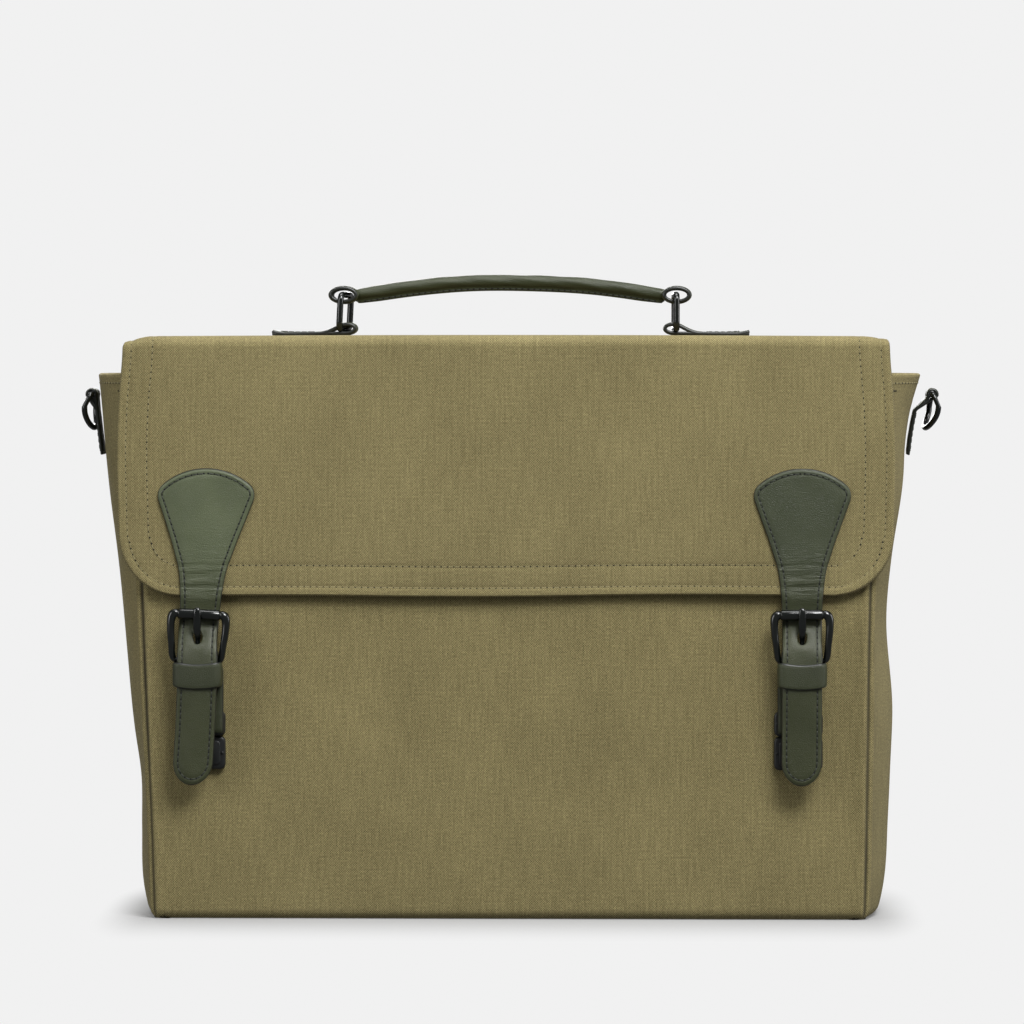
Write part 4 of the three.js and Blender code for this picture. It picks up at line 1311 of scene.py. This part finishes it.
def make_handle_tabs():
    """The folded tabs sewn to the flap's top: a teardrop loop round the link's lower bar, then flat."""
    for side, sign in SIDES:
        profile = np.array([
            (124.6, 301.9), (110, 301.9), (96, 302.0), (89, 302.0), (84, 302.3), (80.9, 303.7),
            (79.9, 305.8), (81.2, 308.0), (84.5, 309.0), (88.5, 308.4), (92.5, 306.4), (96.5, 304.8),
            (101, 304.2), (112, 304.1), (120, 304.4), (124.5, 305.3),
        ])
        ends = np.concatenate([[2 * profile[0] - profile[1]], profile, [2 * profile[-1] - profile[-2]]])
        fine = curve_through(ends, np.linspace(0, 1, 6)[:-1]) + [profile[-1]]
        path = np.array(fine)
        path[:, 1] -= 0.35 + 0.3 * smooth((path[:, 0] - 90) / 30)
        if sign < 0:
            path[:, 0] -= 0.7 * smooth((path[:, 0] - 100) / 24)
        path[:, 0] = path[:, 0] * sign + HANDLE_SHIFT
        if sign > 0:
            path = path[::-1]
        piece = Piece()
        leather_strip(piece, path, 8.0, 1.8, plane="xz", centre=HANDLE_Y)
        made = piece.make(f"handle_tab_{side}_leather", [DARK_LEATHER, EDGE])
        fix(made, "flap_top", "leather", f"handle_tab_{side}")
        sewn = Piece()
        xs = np.linspace(103, 119.5, 12)
        top = np.interp(xs, [100, 112, 120, 124.5], [303.6, 303.5, 303.8, 304.7]) + 0.1
        spine = np.stack([sign * xs + HANDLE_SHIFT, np.full(12, HANDLE_Y), top], axis=1)
        sew_box(sewn, spine, np.array([0, 0, 1.0]))
        stitching = sewn.make(f"handle_tab_{side}_stitching", [DARK_THREAD, LEATHER_HOLE_SHADE])
        fix(stitching, "flap_top", "leather")


# ---------------------------------------------------------------- the shoulder-strap rings
def make_shoulder_rings():
    for side, sign in SIDES:
        bar = joint(f"ring_swing_{side}")
        bar_x, bar_z = abs(bar[0]) - 0.2, bar[2]
        low = corners(f"shoulder_tab_{side}")[0][2]

        def skin(z):
            """How far out the gusset's middle is at a height."""
            gusset = 1 if sign > 0 else 3
            column = np.array([[gusset, 0.0], [gusset, 0.03]])
            return abs(float(wall_points(column, np.full((1, 2), float(z)))[0, 0, 0]))

        inner = [(skin(z) + 0.9, z) for z in (low + 1.5, 248, 256, 263)]
        turn = arc((bar_x, bar_z), 3.3, 205, -25, 20)
        outer = [(skin(z) + 2.6, z) for z in (262.5, 255, 247, low)]
        path = np.array(inner + turn.tolist() + outer)
        path[:, 0] *= sign
        if sign > 0:
            path = path[::-1]
        path = resample(path, 1.2)
        piece = Piece()
        leather_strip(piece, path, 8.0, 1.2, plane="xz")
        made = piece.make(f"shoulder_tab_{side}_leather", [DARK_LEATHER, EDGE])
        fix(made, "bag", "leather", f"shoulder_tab_{side}")
        sewn = Piece()
        zs = np.linspace(low + 2.2, 261, 12)
        xs = sign * (np.array([skin(z) for z in zs]) + 2.75)
        sew_box(sewn, np.stack([xs, np.zeros(12), zs], axis=1), np.array([sign * 1.0, 0, 0]))
        stitching = sewn.make(f"shoulder_tab_{side}_stitching", [DARK_THREAD, LEATHER_HOLE_SHADE])
        fix(stitching, "bag", "leather")

        ring_low, ring_high = corners(f"shoulder_ring_{side}")
        half = (ring_high[1] - ring_low[1]) / 2 - 1.5
        drop = bar_z - ring_low[2] - 1.5
        bow = np.linspace(0, math.pi, 40)
        curve = np.stack([half * np.cos(bow), -drop * (0.25 + 0.75 * np.sin(bow) ** 0.75)], axis=1)
        curve[0], curve[-1] = (half, -1.2), (-half, -1.2)
        straight = np.stack([np.linspace(-half + 1.0, half - 1.0, 14), np.zeros(14)], axis=1)
        loop = np.concatenate([curve, straight])
        deep = -loop[:, 1] / drop
        x = bar_x + 1.6 * np.sin(math.pi * np.clip(deep, 0, 1)) - (0.8 if sign < 0 else 3.4) * deep**2
        angle = math.radians(16)
        twisted = x - loop[:, 0] * math.sin(angle) * np.clip(deep * 3, 0, 1) * 0.6
        path = np.stack([sign * twisted, loop[:, 0], bar_z + loop[:, 1]], axis=1)
        made = wire_loop(f"shoulder_ring_{side}_wire", path, 1.5)
        fix(made, f"ring_{side}", "black_metal", f"shoulder_ring_{side}")


# ---------------------------------------------------------------- the inside
def soft_block(name, low, high, step=0.006):
    """A rounded box of padding, in metres, cut into cells so that puff can blow it up by a short cloth
    simulation.
    """
    work = bmesh.new()
    bmesh.ops.create_cube(work, size=1.0)
    size = [b - a for a, b in zip(low, high)]
    for vertex in work.verts:
        vertex.co = Vector([a + s * (c + 0.5) for a, s, c in zip(low, size, vertex.co)])
    mesh = bpy.data.meshes.new(name)
    work.to_mesh(mesh)
    work.free()
    made = bpy.data.objects.new(name, mesh)
    bpy.context.scene.collection.objects.link(made)
    bpy.context.view_layer.objects.active = made
    made.select_set(True)
    remesh = made.modifiers.new("cells", "REMESH")
    remesh.mode, remesh.voxel_size = "VOXEL", step
    bpy.ops.object.modifier_apply(modifier="cells")
    return made


def puff(made, pressure, cap):
    """Blows the padding up as cloth, holds its rim, and limits how far any point has gone."""
    mesh = made.data
    rest = np.array([v.co[:] for v in mesh.vertices])
    low, high = rest.min(axis=0), rest.max(axis=0)
    rim = np.minimum(rest[:, 0] - low[0], high[0] - rest[:, 0])
    rim = np.minimum(rim, np.minimum(rest[:, 2] - low[2], high[2] - rest[:, 2]))
    seams = np.abs((rest[:, 0] - low[0]) / (high[0] - low[0]) * 5 % 1 - 0.5) * (high[0] - low[0]) / 5
    pins = made.vertex_groups.new(name="pins")
    pins.add([int(i) for i in np.where((rim < 0.006) | (seams < 0.0035))[0]], 1.0, "REPLACE")
    cloth = made.modifiers.new("cloth", "CLOTH")
    cloth.settings.vertex_group_mass = "pins"
    cloth.settings.use_pressure = True
    cloth.settings.uniform_pressure_force = pressure
    cloth.settings.effector_weights.gravity = 0
    cloth.settings.quality = 6
    cloth.point_cache.frame_start, cloth.point_cache.frame_end = 1, 20
    scene = bpy.context.scene
    for number in range(1, 21):
        scene.frame_set(number)
    moved = bpy.data.meshes.new_from_object(made.evaluated_get(bpy.context.evaluated_depsgraph_get()))
    now = np.array([v.co[:] for v in moved.vertices])
    step = now - rest
    size = np.linalg.norm(step, axis=1, keepdims=True)
    now = rest + step * np.minimum(1.0, cap / np.maximum(size, 1e-9))
    moved.vertices.foreach_set("co", now.ravel())
    made.modifiers.clear()
    made.data = moved
    scene.frame_set(1)


def make_divider():
    low, high = corners("laptop_divider")
    inside = np.array([1.5, 1.2, 1.0])
    made = soft_block("laptop_divider_pad", (low + inside) * MM, (high - inside - np.array([0, 0, 4])) * MM)
    puff(made, 4.0, 0.003)
    mesh = made.data
    layer = mesh.uv_layers.new(name="UVMap")
    spots = np.array([mesh.vertices[loop.vertex_index].co[:] for loop in mesh.loops]) / MM
    layer.data.foreach_set("uv", np.stack([spots[:, 0], spots[:, 2] + spots[:, 1]], axis=1).ravel())
    mesh.materials.clear()
    mesh.materials.append(LINING)
    mesh.polygons.foreach_set("use_smooth", [True] * len(mesh.polygons))
    soften = made.modifiers.new("smooth", "SUBSURF")
    soften.levels = soften.render_levels = 1
    fix(made, "bag", "lining", "laptop_divider")
    xs = np.linspace(low[0] + 0.5, high[0] - 0.5, 80)
    half, middle = (high[1] - low[1]) / 2 + 0.8, (high[1] + low[1]) / 2
    bend = np.array([(-1, -14), (-1, -3), (-0.7, 0), (0, 0.9), (0.7, 0), (1, -3), (1, -14)])
    bend = resample(bend * [half, 1], 1.5)
    top = high[2] - 1.5
    wave = 0.3 * ripple(xs, 0 * xs, 90, 80)
    grid = np.stack([np.stack([xs, np.full(80, y + middle), top + z + wave], axis=1) for y, z in bend])
    normal = normals_of(grid)
    if normal[len(bend) // 2, 40, 2] < 0:
        normal = -normal
    piece = Piece()
    slab(piece, grid, 1.0, offset=normal)
    binding = piece.make("divider_binding", [BINDING])
    sewn = Piece()
    for row in (1, -2):
        stitches(sewn, grid[row, 1:-1], normal[row, 1:-1])
    stitching = sewn.make("divider_stitching", [DARK_THREAD, LEATHER_HOLE_SHADE])
    for part in (binding, stitching):
        fix(part, "bag", "lining")


def make_pocket():
    low, high = corners("inner_pocket")
    rim = np.array([0, 0.8, 2])
    xs = np.concatenate([low[0] + rim, np.linspace(low[0] + 5, high[0] - 5, 60), (high[0] - rim)[::-1]])
    hem = high[2] - np.array([12, 10, 8, 5, 3, 1.4, 0.5, 0])
    zs = np.concatenate([low[2] + np.array([0, 1, 3]), np.linspace(low[2] + 6, high[2] - 14, 30), hem])
    x, z = np.meshgrid(xs, zs)
    share = (z - low[2]) / (high[2] - low[2])
    open_up = smooth(share) * np.cos(np.clip(x / high[0], -1, 1) * math.pi / 2)
    y = high[1] + 1.0 + 3.0 * open_up + 0.3 * ripple(x, z, 71, 50)
    y = y - 0.5 * bump(z, high[2] - 11, 1.0)
    outer = np.stack([x, y, z], axis=-1)[:, ::-1]
    piece = Piece()
    slab(piece, outer, 1.1)
    made = piece.make("pocket_cloth", [LINING])
    fix(made, "bag", "lining", "inner_pocket")
    normal = np.tile([0, 1.0, 0], (len(outer[0]), 1))
    sewn = Piece()
    stitches(sewn, outer[int(np.argmin(np.abs(zs - high[2] + 10)))][1:-1], normal[1:-1])
    for column in (2, -3):
        stitches(sewn, outer[1:, column], np.array([0, 1.0, 0]))
    stitching = sewn.make("pocket_stitching", [DARK_THREAD, LEATHER_HOLE_SHADE])
    fix(stitching, "bag", "lining")


def repaint(node, material):
    """Gives a CAD part that is shown as it is a material."""
    shown = frame["nodes"][node]
    shown.data.materials.clear()
    shown.data.materials.append(material)


# ---------------------------------------------------------------- building it all
make_body_stitching(*make_body())
make_lining()
make_divider()
make_pocket()
repaint("base_board", BOARD)
make_flap()
make_hinge_strip()
for side, sign in SIDES:
    make_strap(side, sign)
    make_buckle(side, sign)
    make_keeper(side, sign)
    make_chape(side, sign)
    make_clasp(side, sign)
make_handle()
make_handle_tabs()
make_shoulder_rings()


# ---------------------------------------------------------------- floor, light and camera
BACKDROP = 0.879            # the pale grey of the far floor, as light
PAINTED_SHADOW_GLOW = 0.10           # and of the floor near the bag, lowered there as a painted shadow


def make_stage():
    """A pale floor that curves up behind, glowing so that it looks the same everywhere but near the bag,
    where the glow is lowered as a painted shadow and the lamps cast real shadow.
    """
    cove = arc((2200, 1500), 1500, -90, 0, 16)
    profile = np.concatenate([[(-4000, 0), (2200, 0)], cove, [(3700, 6000)]])
    xs = np.linspace(-6000, 6000, 13)
    grid = np.stack([np.stack([xs, np.full(13, y), np.full(13, z)], axis=1) for y, z in profile])
    piece = Piece()
    piece.grid(grid, xs[None, :], np.arange(len(profile))[:, None] * 100.0)
    material, tree, shader = start_material("studio_paper", 0.9, specular=0.0)
    place = put(tree, "ShaderNodeTexCoord").outputs["Object"]
    mottle = put(tree, "ShaderNodeTexNoise", {"Vector": place, "Scale": 40.0}).outputs[0]
    spot = put(tree, "ShaderNodeSeparateXYZ", {0: place})

    def squared(axis, start, reach):
        past = calc(tree, "SUBTRACT", calc(tree, "ABSOLUTE", spot.outputs[axis]), start)
        return calc(tree, "POWER", calc(tree, "DIVIDE", calc(tree, "MAXIMUM", past, 0.0), reach), 2.0)

    # Painted shadow: in an oval round the bag's footprint the glow drops and the floor takes the lamps' real
    # light and shadow instead.
    away = calc(tree, "POWER", calc(tree, "ADD", squared(0, 0.185, 0.032), squared(1, 0.04, 0.13)), 0.5)
    far = put(tree, "ShaderNodeMapRange", {"Value": away}, interpolation_type="SMOOTHSTEP").outputs[0]
    shade = colour_mix(tree, far, colour_mix(tree, mottle, grey(0.298), grey(0.302)), grey(0.0))
    tree.links.new(shade, shader.inputs["Base Color"])
    glow_with_painted_shadow = colour_mix(tree, far, grey(PAINTED_SHADOW_GLOW), grey(BACKDROP))
    tree.links.new(glow_with_painted_shadow, shader.inputs["Emission Color"])
    shader.inputs["Emission Strength"].default_value = 1.0
    stage = piece.make("studio_floor", [material])
    stage.visible_diffuse = stage.visible_glossy = False


def soft_light(name, place, aim, size, watts):
    data = bpy.data.lights.new(name, "AREA")
    data.shape, data.size, data.size_y, data.energy = "RECTANGLE", size[0], size[1], watts
    lamp = bpy.data.objects.new(name, data)
    lamp.location = place
    lamp.rotation_euler = (Vector(aim) - Vector(place)).to_track_quat("-Z", "Y").to_euler()
    bpy.context.scene.collection.objects.link(lamp)


make_stage()
scene = bpy.context.scene
scene.view_settings.view_transform = "Standard"
world = bpy.data.worlds.new("studio")
world.use_nodes = True
world.node_tree.nodes["Background"].inputs[0].default_value = (1, 1, 1, 1)
world.node_tree.nodes["Background"].inputs[1].default_value = 0.2
scene.world = world
soft_light("key", (0.7, -1.4, 1.9), (0, 0, 0.18), (1.0, 1.0), 68)
soft_light("fill", (-1.7, -1.2, 0.9), (0, 0, 0.15), (0.7, 1.4), 17)
soft_light("top", (0, 0.0, 2.2), (0, 0, 0.2), (1.4, 1.0), 27)
soft_light("side", (1.9, -0.2, 0.8), (0, 0, 0.15), (0.6, 1.2), 14)
soft_light("back", (-0.6, 2.2, 0.9), (0, 0, 0.15), (1.2, 1.0), 34)

camera = bpy.data.objects.new("camera", bpy.data.cameras.new("camera"))
distance, turn = 3.0, math.radians(1.5)
aim = Vector((0.0015, -0.05, 0.2107))
camera.location = aim + Vector((distance * math.sin(turn), -distance * math.cos(turn), 0.0893))
camera.rotation_euler = (aim - camera.location).to_track_quat("-Z", "Y").to_euler()
camera.data.sensor_width = 36
camera.data.lens = 204.6
scene.collection.objects.link(camera)
scene.camera = camera
